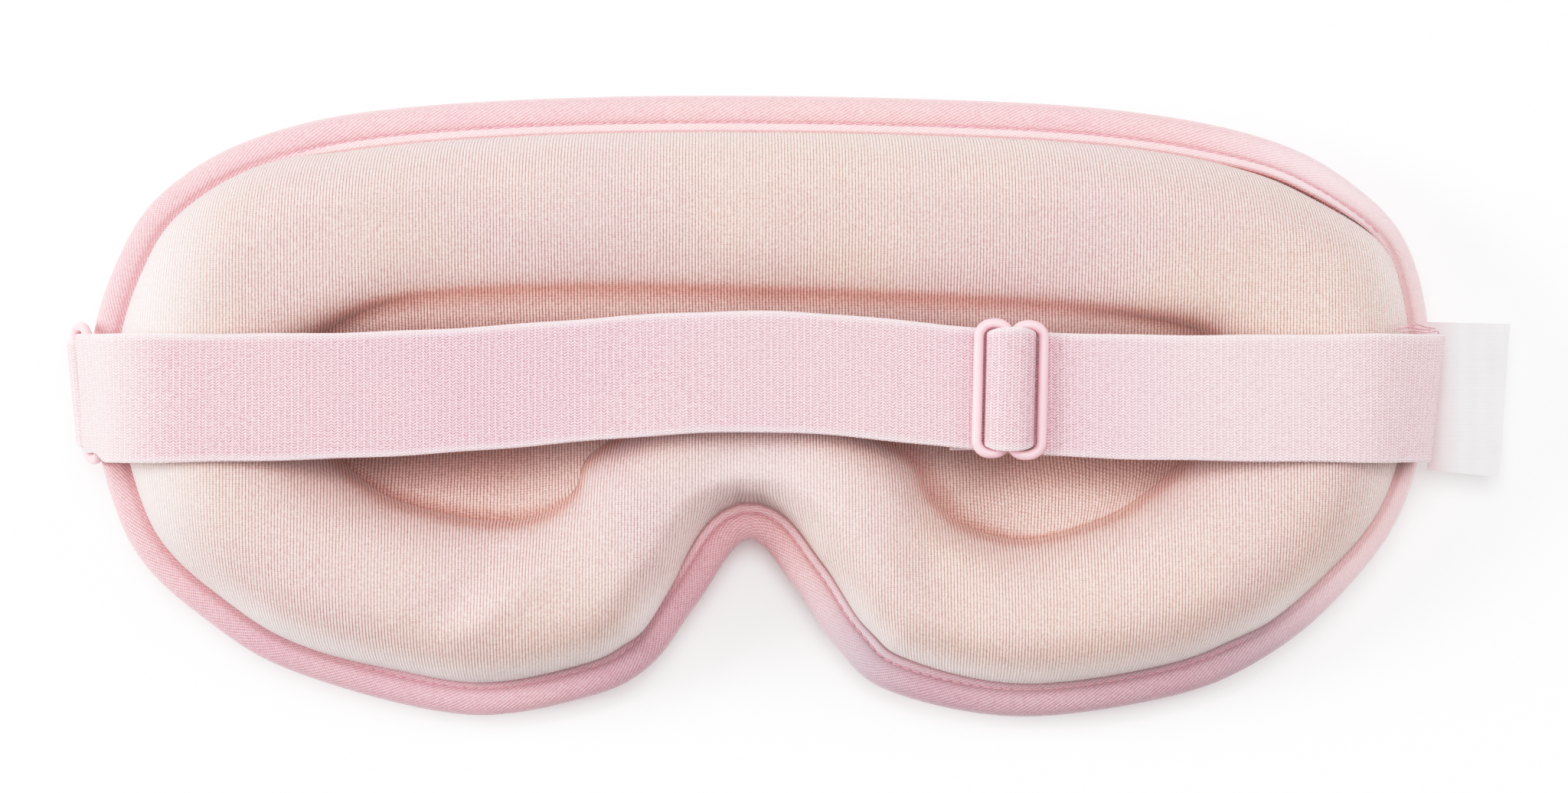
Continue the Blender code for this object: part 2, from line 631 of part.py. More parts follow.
def main():
    clear_scene()
    mats = {
        "cover": material("cover", (0.86, 0.52, 0.56), 0.6),
        "foam": material("foam", (0.88, 0.80, 0.70), 0.9),
        "blackout": material("blackout", (0.03, 0.03, 0.035), 0.7),
        "lining": material("lining", (0.87, 0.68, 0.63), 0.65),
        "satin": material("satin", (0.86, 0.52, 0.58), 0.5),
        "thread": material("thread", (0.84, 0.55, 0.60), 0.6),
        "elastic": material("elastic", (0.86, 0.56, 0.62), 0.7),
        "plastic": material("plastic", (0.90, 0.62, 0.66), 0.25),
        "label": material("label", (0.90, 0.90, 0.91), 0.5),
    }
    padding = Padding()
    build_layers(padding, mats)
    build_binding(padding, mats)
    build_straps(mats)
    build_slider(mats)
    build_crossing(mats)
    build_ring(mats)
    build_label(mats)
    build_tacks(mats)


main()
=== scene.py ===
"""Looks of the contoured sleep mask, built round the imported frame. Metres, in the frame's axes."""

import math

import bmesh
import bpy
import numpy as np
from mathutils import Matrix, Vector


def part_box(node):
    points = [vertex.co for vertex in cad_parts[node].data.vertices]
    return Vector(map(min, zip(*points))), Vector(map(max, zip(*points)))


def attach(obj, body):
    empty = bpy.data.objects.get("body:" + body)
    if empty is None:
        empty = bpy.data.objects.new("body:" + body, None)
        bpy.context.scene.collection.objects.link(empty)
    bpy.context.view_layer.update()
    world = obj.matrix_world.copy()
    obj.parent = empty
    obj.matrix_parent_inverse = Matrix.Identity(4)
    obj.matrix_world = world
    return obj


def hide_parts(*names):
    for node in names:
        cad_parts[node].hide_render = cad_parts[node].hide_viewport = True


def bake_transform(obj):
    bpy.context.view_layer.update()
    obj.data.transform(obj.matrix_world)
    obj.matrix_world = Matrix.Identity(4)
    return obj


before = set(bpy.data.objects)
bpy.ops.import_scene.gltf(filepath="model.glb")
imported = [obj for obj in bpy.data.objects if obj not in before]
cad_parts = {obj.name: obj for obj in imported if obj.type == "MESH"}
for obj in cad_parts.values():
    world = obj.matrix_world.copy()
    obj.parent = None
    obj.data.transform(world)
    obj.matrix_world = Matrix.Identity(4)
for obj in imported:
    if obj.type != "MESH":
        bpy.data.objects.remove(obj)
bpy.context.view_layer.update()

MM = 0.001
VIEW_WIDTH = 265.8 * MM         # width of the view at the height of the bound edge
CAMERA_DISTANCE = 0.70
CAMERA_OFFSET = 0.010           # the camera stands this far left of the mask's middle
VIEW_CENTRE = (0.0031, 0.0017)
SENSOR_WIDTH = 36

SAMPLES_PER_POINT = 9           # samples between two control points of the outline
ROLL_ROWS = 40
FLOOR_ROWS = 14
FLOOR_SHARES = np.arange(1, FLOOR_ROWS)[:, None] / FLOOR_ROWS   # of the way across the recess

# Outline of the mask and of the crease round the eye recess, in millimetres, as in the CAD.
OUTLINE = [
    (112.6, 4), (109.5, 25.6), (99.9, 37.5), (84.4, 45.7), (58.4, 50.6), (20, 52.5), (-24, 52.7),
    (-61, 50.8), (-82, 47), (-97.4, 39.8), (-107.7, 28.3), (-113.9, 6), (-107.7, -22.1),
    (-92.2, -37.9), (-76.6, -46.1), (-50.6, -52.3), (-29.9, -49.2), (-19.5, -43.9), (-11.7, -33.5),
    (-3.2, -22.6), (4.6, -30.2), (11.7, -40.5), (20.8, -48.3), (42.8, -52.7), (68.8, -49.3),
    (84.4, -42.8), (97.3, -32.2), (107.9, -17.2),
]
CREASE = [
    (77.5, 2), (76.5, 8.5), (73, 12.6), (65, 14.6), (48, 16.6), (18, 18.2), (-20, 19.4),
    (-48, 18.9), (-62, 17.4), (-70, 14.6), (-76, 10.2), (-78.5, 3.5), (-73.5, -6.5),
    (-66.5, -13.3), (-59, -16.6), (-47, -19.0), (-38, -18.2), (-32, -13.8), (-27.5, -6.5),
    (-3, 3.5), (21.5, -6.5), (27.5, -15), (33.5, -20), (44, -22.2), (56.5, -18.8),
    (64, -14.4), (70.5, -9), (75.3, -3.8),
]
LEFT_END = 11                   # the outline's control point at the left end

# Heights and places, from the frame
BINDING_LOW, BINDING_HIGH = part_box("edge_binding")
LINING_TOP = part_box("face_lining")[1][2]
BAND_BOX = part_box("strap_band")
TAPE_HALF = 2.2 * MM
EDGE_HEIGHT = BINDING_LOW[2] + TAPE_HALF
END_LIFT = BINDING_HIGH[2] - BINDING_LOW[2] - 2 * TAPE_HALF
LIFT_START = 55 * MM
HALF_LENGTH = (BINDING_HIGH[0] - BINDING_LOW[0]) / 2
BAND_Z = np.mean(BAND_BOX, axis=0)[2]
RETURN_Z = np.mean(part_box("strap_return"), axis=0)[2]
BAND_END = BAND_BOX[1][0]
SLIDER_X, SLIDER_Y, SLIDER_Z = np.mean(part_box("slider_frame"), axis=0)

# The padded roll, the wall of the recess and its floor. Pairs are (from, to) or (place, spread).
BRIDGE_DROP = 4.0 * MM
BRIDGE_X = -3.0 * MM
BRIDGE_SPREAD = 15 * MM
BRIDGE_RANGE = (-4 * MM, 2 * MM)
FLOOR_HEIGHT = 10.4 * MM
FOREHEAD_FLOOR_RISE = 12 * MM
CHEEK_FLOOR_RISE = 6 * MM
BRIDGE_FLOOR_RISE = 7 * MM
FOREHEAD_CLIMB = (-1 * MM, 19.5 * MM)
CHEEK_CLIMB = (2 * MM, 22 * MM)
BRIDGE_CLIMB = (20 * MM, 44 * MM)
BRIDGE_FADE = (0, 14 * MM)
FOREHEAD_SLOPE = (9 * MM, 15 * MM)
FOREHEAD_CORNERS = (52 * MM, 74 * MM)
BRIDGE_SLOPE = (-4 * MM, 4 * MM)
BRIDGE_WALLS = ((-25 * MM, 9 * MM), (22 * MM, 9 * MM))
LEFT_WALL = (-76 * MM, 7 * MM)
LEFT_WALL_FADE = (4 * MM, 9 * MM)
LEFT_GENTLENESS = 0.5
CHEEK_SLOPE = (10 * MM, 16 * MM)
CHEEK_GENTLENESS = 0.35
STEEP_POWER = 2.1
GENTLE_POWER = 2.4
FLANK_POWER = 1.9               # roundness of the roll's outer flank
NOTCH_FULLNESS = 0.9            # how much rounder it is beside the nose notch
FRONT_POWER = 1.75
CROWN_AT = 0.5                  # share of the roll's width at which it is highest
FRONT_FLAT_AT = 0.6
RISE_INSET = 5.6 * MM           # the front starts to curve this far inside the bound edge
DEEP_INSET = 30 * MM            # stands for any place on the recess floor
EDGE_SHEET = 0.55 * MM          # cover and lining where the binding clamps them
GAP = 0.3 * MM
THICKNESS = 0.9 * MM            # elastic, cover and lining
FOAM_THICKNESS = 2.6 * MM
BLACKOUT_THICKNESS = 0.5 * MM
CORE_INSET = 8.2 * MM           # the foam and blackout layers start here
CORE_ROWS = 26

# Folds of the face side, in millimetres: each starts with its height.
FOREHEAD_FOLDS = [(-0.45, -8.5, 1.6), (0.3, -5, 2), (-0.38, 16.5, 1.9)]
LOBE_CREASES = [
    (1.1, (-43, -32), 42, 12, 3.2), (-1.0, (-47, -28.2), 42, 12, 2.6),
    (0.8, (23, -32), -52, 12, 3.6), (-0.8, (30, -30), -45, 12, 3.8),
]
LOBE_SWELLS = [(1.2, (-20, -24), 62, 13, 8), (1.2, (15, -24), -58, 13, 8)]
PUCKERS = [(-0.9, (3.5, 3.2), (16.6, 2.2)), (-0.4, (-4, 5), (16.6, 1.6))]

# The strap
STRAP_Y = 1.4 * MM
STRAP_BOW = 4.4 * MM            # sideways bow of the strap in its middle
BOW_X = -2 * MM
BOW_SPREADS = (45 * MM, 36 * MM)        # reach of the bow to the left and to the right
STRAP_WIDTH = 20 * MM
STRAP_WIDENING = 1.5 * MM       # the strap is this much wider at its ends
WIDENING_END = 110 * MM
RING_PINCH = 0.8 * MM           # the strap's lower edge gathers by twice this inside the ring
PINCH_RANGE = (110.2 * MM, 112.6 * MM)
STRAP_WAVE = 0.1 * MM
DROP_START = 90 * MM
RIGHT_DROP = [(99.5, 28.3), (106, 25.2), (110.3, 21.4), (112.1, 18.2)]
LEFT_DROP = [(-100, 28.5), (-107.5, 25.4), (-111.5, 21), (-114.3, 18)]
LEFT_RETURN = [(-110.85, 17.8), (-109.2, 21.4), (-105.4, 24.8), (-99, 27.2)]
SEAM_FOLD = (111.1 * MM, 17.3 * MM)
SEAM_FOLD_RADIUS = 1.3 * MM
FOLD_RADIUS = 1.62 * MM
RETURN_STOP = 3.5 * MM          # the return run stops this far before the slider's middle
RING_SLANT = 0.10               # the ring and its fold lean this much along X per unit of Y
RING_INNER_BAR = (-112.6 * MM, 16.6 * MM)
RING_OUTER_BAR = (-115.2 * MM, 12.6 * MM)
RING_END = 1.9 * MM
HOLDER_RADIUS = 1.45 * MM
HOLDER_ROOT_X = -112.6 * MM
HOLDER_LAYERS = (0.9 * MM, -1.15 * MM)  # heights of its two layers at the seam, from the outer bar
HOLDER_HALF_WIDTH = 9 * MM
WIRE_RADIUS = 0.85 * MM         # moulded bars of the slider and the ring
SLIDER_SLANT = 0.022            # the slider leans this much along X per unit of Y
TWIN_OFFSET = 2.85 * MM         # each loop's middle sits this far from the slider's middle
TWIN_SHIFT = 0.15 * MM          # and this far along Y
LOOP_HALF_WIDTH = 2.5 * MM
LOOP_HALF_HEIGHT = 10.7 * MM
LOOP_END = 2.3 * MM
HUMP_REACH = 4.2 * MM
HUMP_HEIGHT = 3.9 * MM
HUMP_HALF_WIDTH = 10.2 * MM
HUMP_WAIST = 1.0 * MM           # the hump narrows by this on each side at its feet


# ---------------------------------------------------------------- small tools

def smooth(x, low, high):
    t = np.clip((x - low) / (high - low), 0, 1)
    return t * t * (3 - 2 * t)


def rounded(share, power):
    return (1 - (1 - np.clip(share, 0, 1)) ** power) ** (1 / power)


def bump(x, centre, width):
    return np.exp(-(((x - centre) / width) ** 2))


def spline(points, steps, closed=False):
    """Catmull-Rom curve through points of any dimension."""
    run = np.array(points, float)
    if closed:
        run = np.vstack([run[-1], run, run[:2]])
    else:
        run = np.vstack([2 * run[0] - run[1], run, 2 * run[-1] - run[-2]])
    t = (np.arange(steps) / steps)[:, None]
    spans = []
    for i in range(1, len(run) - 2):
        a, b, c, d = run[i - 1:i + 3]
        spans.append(0.5 * (2 * b + (c - a) * t + (2 * a - 5 * b + 4 * c - d) * t**2
                            + (3 * b - a - 3 * c + d) * t**3))
    if not closed:
        spans.append(run[-2][None])
    return np.vstack(spans)


def normals_2d(path):
    """Outward unit normals of an anticlockwise closed path."""
    ahead = unit_rows(np.roll(path, -1, axis=0) - np.roll(path, 1, axis=0))
    return np.column_stack([ahead[:, 1], -ahead[:, 0]])


def end_lift(x):
    reach = np.clip((np.abs(x) - LIFT_START) / (HALF_LENGTH - LIFT_START), 0, 1.1)
    return END_LIFT * reach**2


def outward_mesh(name, points, faces):
    mesh = bpy.data.meshes.new(name)
    mesh.from_pydata([tuple(map(float, p)) for p in points], [], faces)
    work = bmesh.new()
    work.from_mesh(mesh)
    bmesh.ops.recalc_face_normals(work, faces=work.faces)
    work.to_mesh(mesh)
    work.free()
    return mesh


def link(name, data):
    made = bpy.data.objects.new(name, data)
    bpy.context.scene.collection.objects.link(made)
    return made


def make(name, points, faces, mat, body, slot, replaces=(), uv=None, sharp=None, marks=None):
    """A named mesh piece that rides on a body."""
    mesh = outward_mesh(name, points, faces)
    if uv is not None:
        layer = mesh.uv_layers.new(name="cloth")
        corner = np.zeros(len(mesh.loops), int)
        mesh.loops.foreach_get("vertex_index", corner)
        layer.data.foreach_set("uv", np.array(uv, np.float32)[corner].ravel())
    for mark, values in (marks or {}).items():
        attribute = mesh.attributes.new(mark, "FLOAT", "POINT")
        attribute.data.foreach_set("value", np.array(values, np.float32))
    mesh.shade_smooth()
    if sharp:
        mesh.set_sharp_from_angle(angle=math.radians(sharp))
    mesh.materials.append(mat)
    piece = link(name, mesh)
    if body:
        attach(piece, body)
    if replaces:
        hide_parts(*replaces)
    return piece


def path_length(path):
    """Distance along a path up to each of its points."""
    return np.concatenate([[0], np.cumsum(np.linalg.norm(np.diff(path, axis=0), axis=1))])


def unit_rows(vectors):
    return vectors / np.linalg.norm(vectors, axis=1)[:, None]


def metres(points):
    return [(x * MM, z * MM) for x, z in points]


def grid_faces(rows, columns, wrap_rows=False, wrap_columns=False):
    faces = []
    for i in range(rows if wrap_rows else rows - 1):
        for k in range(columns if wrap_columns else columns - 1):
            j, q = (i + 1) % rows, (k + 1) % columns
            faces.append((i * columns + k, i * columns + q, j * columns + q, j * columns + k))
    return faces


# ---------------------------------------------------------------- materials

class Nodes:
    """Short forms for building a material's node tree."""

    def __init__(self, name, roughness, sheen=0.0, **settings):
        self.mat = bpy.data.materials.new(name)
        self.mat.use_nodes = True
        self.tree = self.mat.node_tree
        self.shader = self.tree.nodes["Principled BSDF"]
        self.set(self.shader, Roughness=roughness, Sheen_Weight=sheen, **settings)

    def set(self, node, **values):
        for key, value in values.items():
            node.inputs[key.replace("_", " ")].default_value = value

    def node(self, kind, **props):
        made = self.tree.nodes.new(kind)
        for key, value in props.items():
            setattr(made, key, value)
        return made

    def link(self, out, into):
        self.tree.links.new(out, into)

    def feed(self, socket, value):
        """Sets an input to a number or a colour, or links it to an output."""
        if isinstance(value, tuple):
            socket.default_value = (*value, 1)
        elif isinstance(value, (int, float)):
            socket.default_value = value
        elif value is not None:
            self.link(value, socket)

    def math(self, operation, *values):
        made = self.node("ShaderNodeMath", operation=operation)
        for socket, value in zip(made.inputs, values):
            self.feed(socket, value)
        return made.outputs[0]

    def times(self, a, b, plus=None):
        return self.math("MULTIPLY" if plus is None else "MULTIPLY_ADD", a, b, plus)

    def coords(self):
        split = self.node("ShaderNodeSeparateXYZ")
        self.link(self.node("ShaderNodeTexCoord").outputs["UV"], split.inputs[0])
        return split.outputs

    def noise(self, scale, detail):
        texture = self.node("ShaderNodeTexNoise")
        self.set(texture, Scale=scale, Detail=detail)
        self.link(self.node("ShaderNodeTexCoord").outputs["Object"], texture.inputs["Vector"])
        return texture.outputs[0]

    def speckled(self, height, scale, amount):
        """A weave's height with fine noise on it, from 0 to 1."""
        fleck = self.math("SUBTRACT", self.noise(scale, 1), 0.5)
        shade = self.times(fleck, amount, height)
        return self.math("MINIMUM", self.math("MAXIMUM", shade, 0.0), 1.0)

    def wave(self, coordinate, pitch, shift=None):
        """A sine from 0 to 1 along a coordinate in millimetres."""
        angle = self.times(coordinate, 2 * math.pi / pitch)
        if shift is not None:
            angle = self.math("ADD", angle, shift)
        return self.times(self.math("SINE", angle), 0.5, 0.5)

    def mix(self, share, one, two, kind="MIX"):
        made = self.node("ShaderNodeMix", data_type="RGBA", blend_type=kind)
        for index, value in zip((0, 6, 7), (share, one, two)):
            self.feed(made.inputs[index], value)
        return made.outputs[2]

    def stretch(self, value, low, high):
        """Stretches the part of a value's range from low to high to 0..1."""
        made = self.node("ShaderNodeMapRange")
        self.set(made, From_Min=low, From_Max=high)
        self.link(value, made.inputs["Value"])
        return made.outputs[0]

    def drift(self, scale):
        """Slow change of tint over a cloth."""
        return self.stretch(self.noise(scale, 2), 0.36, 0.64)

    def attribute(self, name):
        return self.node("ShaderNodeAttribute", attribute_name=name).outputs["Fac"]

    def colour(self, out):
        self.link(out, self.shader.inputs["Base Color"])

    def relief(self, height, distance):
        made = self.node("ShaderNodeBump")
        self.set(made, Strength=1.0, Distance=distance)
        self.link(height, made.inputs["Height"])
        self.link(made.outputs[0], self.shader.inputs["Normal"])


def srgb(r, g, b):
    """Linear colour of an sRGB one given from 0 to 255."""
    return tuple(((c / 255 + 0.055) / 1.055) ** 2.4 for c in (r, g, b))


def knit_material():
    """Fine ribbed knit: wales along Y made of small V stitches, with painted shade in the eye cups
    (pinker) and in the crease (darker), and painted light where it is paler.
    """
    n = Nodes("lining_knit", roughness=0.6, sheen=0.55, Sheen_Roughness=0.35)
    u, v, _ = n.coords()
    wobble = n.times(n.noise(60, 2), 0.25, u)
    wale = n.math("FRACT", n.math("DIVIDE", wobble, 0.53))
    across = n.math("ABSOLUTE", n.math("SUBTRACT", wale, 0.5))
    rib = n.math("MINIMUM", n.times(n.math("SUBTRACT", 0.5, across), 3.2), 1.0)
    stitch = n.wave(v, 0.38, n.times(across, 9.0))
    height = n.times(rib, n.times(stitch, 0.5, 0.5))
    shade = n.speckled(height, 2400, 0.8)
    # Painted shade: the recess mark makes the eye cups pinker, and the crease mark darkens the crease
    # and the deep floor.
    recess = n.attribute("recess")
    crease = n.times(n.attribute("crease"), 0.62)
    drift = n.drift(26)
    pale = n.mix(drift, srgb(247, 228, 228), srgb(248, 230, 223))
    deep = n.mix(drift, srgb(188, 144, 142), srgb(192, 150, 140))
    pale = n.mix(recess, pale, srgb(246, 222, 215))
    deep = n.mix(recess, deep, srgb(176, 132, 126))
    # Painted light: paler, almost white, where the cloth is marked for it.
    plain = n.mix(n.attribute("painted_light"), n.mix(shade, deep, pale), srgb(253, 249, 249))
    n.colour(n.mix(crease, plain, srgb(243, 203, 193), "MULTIPLY"))
    n.relief(height, 0.00012)
    return n.mat


def tape_material():
    """Soft twill tape with fine diagonal lines."""
    n = Nodes("binding_tape", roughness=0.55, sheen=0.3)
    u, v, _ = n.coords()
    wobble = n.times(n.noise(120, 2), 2.2)
    twill = n.wave(n.times(v, 1.7, u), 0.95, wobble)
    cross = n.wave(n.times(v, -0.9, u), 0.5)
    weave = n.times(cross, 0.4, n.times(twill, 0.6))
    shade = n.speckled(weave, 2200, 0.8)
    drift = n.drift(30)
    hem = n.attribute("hem")
    deep = n.mix(drift, srgb(208, 152, 160), srgb(212, 158, 160))
    pale = n.mix(drift, srgb(243, 203, 208), srgb(244, 206, 207))
    deep = n.mix(hem, deep, srgb(226, 180, 184))
    pale = n.mix(hem, pale, srgb(247, 216, 217))
    # Painted light: paler where the tape is marked for it.
    painted_light = n.mix(n.attribute("painted_light"), n.mix(shade, deep, pale), srgb(240, 222, 224))
    # Painted shade: the low mark darkens the tape along the cheeks and left of the notch, less on the
    # hem.
    low = n.times(n.attribute("low"), n.times(hem, -0.35, 1.0))
    n.colour(n.mix(low, painted_light, srgb(214, 222, 230), "MULTIPLY"))
    n.relief(weave, 0.00007)
    return n.mat


def elastic_material():
    """Woven elastic: columns of pale loops, each with a V of short dark gaps."""
    n = Nodes("elastic_weave", roughness=0.6, sheen=0.25)
    u, v, _ = n.coords()
    column = n.math("FRACT", n.math("DIVIDE", n.times(n.noise(50, 2), 0.4, u), 1.08))
    across = n.math("ABSOLUTE", n.math("SUBTRACT", column, 0.5))
    lean = n.times(across, 12.0)
    stitch = n.wave(v, 0.46, n.math("ADD", lean, n.times(n.noise(700, 2), 5.0)))
    furrow = n.math("ABSOLUTE", n.math("SINE", n.times(column, 2 * math.pi)))
    gap = n.times(n.math("POWER", stitch, 1.5), n.times(furrow, 0.8, 0.1))
    edge = n.times(n.math("POWER", n.times(across, 2.0), 6.0), 0.35)
    height = n.math("SUBTRACT", n.math("SUBTRACT", 1.0, gap), edge)
    shade = n.speckled(height, 2200, 0.9)
    drift = n.drift(22)
    deep = n.mix(drift, srgb(184, 128, 142), srgb(190, 136, 142))
    pale = n.mix(drift, srgb(245, 209, 219), srgb(248, 215, 218))
    # Painted light and painted highlight: paler where the elastic is marked for it.
    n.colour(n.mix(n.attribute("painted_light"), n.mix(shade, deep, pale), srgb(254, 241, 243)))
    n.relief(height, 0.00014)
    return n.mat


def cover_material():
    """Smooth brushed knit of the front."""
    n = Nodes("cover_fabric", roughness=0.6, sheen=0.3)
    u, v, _ = n.coords()
    ribs = n.wave(u, 0.42, n.times(n.math("SINE", n.times(v, 15)), 0.8))
    shade = n.times(n.noise(700, 2), 0.6, n.times(ribs, 0.45))
    drift = n.noise(22, 2)
    deep = n.mix(drift, srgb(229, 184, 190), srgb(232, 189, 191))
    pale = n.mix(drift, srgb(246, 212, 216), srgb(247, 216, 217))
    n.colour(n.mix(n.math("MINIMUM", shade, 1.0), deep, pale))
    n.relief(ribs, 0.00006)
    return n.mat


def plastic_material():
    """Glossy moulded plastic, a little translucent."""
    n = Nodes("moulded_plastic", roughness=0.38, Subsurface_Weight=0.3,
              Subsurface_Scale=1.2 * MM, Subsurface_Radius=(1, 7 / 12, 0.5))
    n.colour(n.mix(n.noise(160, 2), srgb(239, 196, 203), srgb(243, 204, 210)))
    n.relief(n.noise(420, 2), 0.00003)
    return n.mat


def thread_material(name, dark, light):
    n = Nodes(name, roughness=0.5, sheen=0.2)
    twist = n.noise(2600, 1)
    n.colour(n.mix(twist, dark, light))
    n.relief(twist, 0.00003)
    return n.mat


def label_material():
    """Thin satin ribbon, slightly see-through."""
    n = Nodes("label_satin", roughness=0.42, sheen=0.2)
    u, v, _ = n.coords()
    weft = n.wave(v, 0.3)
    shade = n.times(n.noise(500, 2), 0.5, n.times(weft, 0.2))
    shade = n.math("ADD", shade, n.times(n.wave(u, 3.1), 0.2))
    # Painted shade: pinker grey towards the root, under the strap's end.
    near = n.stretch(u, 118.0, 113.5)
    ribbon = n.mix(shade, srgb(230, 227, 229), srgb(242, 241, 241))
    n.colour(n.mix(near, ribbon, srgb(222, 204, 206)))
    n.relief(weft, 0.000008)
    return n.mat


def foam_material():
    n = Nodes("open_foam", roughness=0.95)
    cells = n.node("ShaderNodeTexVoronoi")
    n.set(cells, Scale=1400)
    n.link(n.node("ShaderNodeTexCoord").outputs["Object"], cells.inputs["Vector"])
    n.colour(n.mix(cells.outputs[0], srgb(205, 196, 178), srgb(240, 234, 220)))
    n.relief(cells.outputs[0], 0.0002)
    return n.mat


def blackout_material():
    n = Nodes("blackout_cloth", roughness=0.7)
    cloud = n.noise(300, 2)
    n.colour(n.mix(cloud, (0.008, 0.008, 0.01), (0.02, 0.02, 0.024)))
    n.relief(cloud, 0.00005)
    return n.mat


def floor_material():
    n = Nodes("pale_floor", roughness=0.9)
    n.set(n.shader, Emission_Color=(1, 1, 1, 1), Emission_Strength=0.12)
    n.colour(n.mix(n.noise(3, 2), (0.95, 0.95, 0.95), (0.97, 0.97, 0.97)))
    return n.mat


KNIT = knit_material()
TAPE = tape_material()
ELASTIC = elastic_material()
COVER = cover_material()
PLASTIC = plastic_material()
THREAD = thread_material("sewing_thread", srgb(214, 160, 170), srgb(236, 192, 200))
# Dark red thread whose darkness is painted shade of the gap between hem and lining.
SHADE_THREAD = thread_material("painted_shade_thread", srgb(170, 92, 88), srgb(218, 146, 140))
LABEL = label_material()
FOAM = foam_material()
BLACKOUT = blackout_material()


# ---------------------------------------------------------------- the padded mask

def fitted_plan():
    """Outline and crease samples, scaled so that the outline fills the frame's binding."""
    outer = spline(OUTLINE, SAMPLES_PER_POINT, closed=True) * MM
    inner = spline(CREASE, SAMPLES_PER_POINT, closed=True) * MM
    low, high = outer.min(axis=0), outer.max(axis=0)
    scale = (np.array(BINDING_HIGH[:2]) - BINDING_LOW[:2]) / (high - low)
    shift = np.array(BINDING_LOW[:2]) - low * scale
    return outer * scale + shift, inner * scale + shift


OUTER, INNER = fitted_plan()
COUNT = len(OUTER)
OUTWARD = normals_2d(OUTER)
WIDTH = np.linalg.norm(INNER - OUTER, axis=1)


def hem_share():
    """How much of the tape's sewn hem shows: none where the padding bulges over it."""
    x, y = OUTER.T
    top = smooth(y, 24 * MM, 42 * MM) * smooth(x, -88 * MM, -70 * MM)
    notch = bump(x, -1 * MM, 26 * MM) * smooth(-y, 14 * MM, 18 * MM)
    notch *= 1 - 0.9 * smooth(-x, 6 * MM, 15 * MM)
    low = 0.55 * smooth(x, -78 * MM, -60 * MM) * smooth(-y, 40 * MM, 46 * MM)
    return np.clip(top + notch + low, 0, 1)


HEM = hem_share()
RIGHT_END = smooth(OUTER[:, 0], 92 * MM, 110 * MM)
RISE = (4.7 + 1.55 * HEM - 1.15 * RIGHT_END) * MM


class Spots:
    """The points of one layer in plan: rings across the roll, then rows across the recess."""

    def __init__(self, first_inset, rows=ROLL_ROWS):
        q = np.linspace(0, 1, rows)
        spread = 0.75 * (1 - np.cos(math.pi * q)) / 2 + 0.25 * q
        if first_inset < RISE.min():
            start = RISE
            rings = [np.full(COUNT, first_inset), (first_inset + RISE) / 2]
        else:
            start = np.full(COUNT, first_inset)
            rings = []
        rings += [start + (WIDTH - start) * s for s in spread]
        inset = np.array(rings)
        share = inset / WIDTH
        along = OUTER + (INNER - OUTER) * share[..., None]
        square = OUTER - OUTWARD * inset[..., None]
        blend = smooth(inset, 7 * MM, 17 * MM)[..., None]
        xy = square * (1 - blend) + along * blend
        faces = grid_faces(len(rings), COUNT, wrap_columns=True)
        base = (len(rings) - 1) * COUNT
        half = COUNT // 2
        start_at = SAMPLES_PER_POINT * LEFT_END - half
        crease = [base + (start_at + i) % COUNT for i in range(COUNT)]
        flat = xy.reshape(-1, 2)
        columns = [[crease[0]] * (FLOOR_ROWS + 1)]
        extra = []
        for i in range(1, half):
            a, b = crease[i], crease[COUNT - i]
            first = len(flat) + len(extra)
            extra += list(flat[a] + (flat[b] - flat[a]) * FLOOR_SHARES)
            columns.append([a, *range(first, first + FLOOR_ROWS - 1), b])
        columns.append([crease[half]] * (FLOOR_ROWS + 1))
        for one, two in zip(columns, columns[1:]):
            for s in range(FLOOR_ROWS):
                faces.append(tuple(dict.fromkeys((one[s], two[s], two[s + 1], one[s + 1]))))
        extra = np.array(extra)
        self.ring_count = len(rings)
        self.spans = [(crease[i], crease[COUNT - i]) for i in range(1, half)]
        self.x, self.y = np.vstack([flat, extra]).T
        self.share = np.concatenate([share.ravel(), np.ones(len(extra))])
        deep = np.full(len(extra), DEEP_INSET)
        self.inset = np.concatenate([inset.ravel(), deep])
        level = np.full(len(extra), RISE_INSET)
        self.rise = np.concatenate([np.tile(RISE, self.ring_count), level])
        self.width = np.concatenate([np.tile(WIDTH, self.ring_count), deep])
        still = np.zeros_like(extra)
        self.outward = np.vstack([np.tile(OUTWARD, (self.ring_count, 1)), still])
        self.faces = faces


def crown(x, y):
    drop = BRIDGE_DROP * bump(x, BRIDGE_X, BRIDGE_SPREAD) * smooth(-y, *BRIDGE_RANGE)
    return LINING_TOP - drop


def ridge(x, y, centre, lean, length, width):
    """A soft ridge of height 1 through a centre, leaning by an angle in degrees."""
    c, d = math.cos(math.radians(lean)), math.sin(math.radians(lean))
    along = (x - centre[0]) * c + (y - centre[1]) * d
    across = -(x - centre[0]) * d + (y - centre[1]) * c
    return bump(along, 0, length) * bump(across, 0, width)


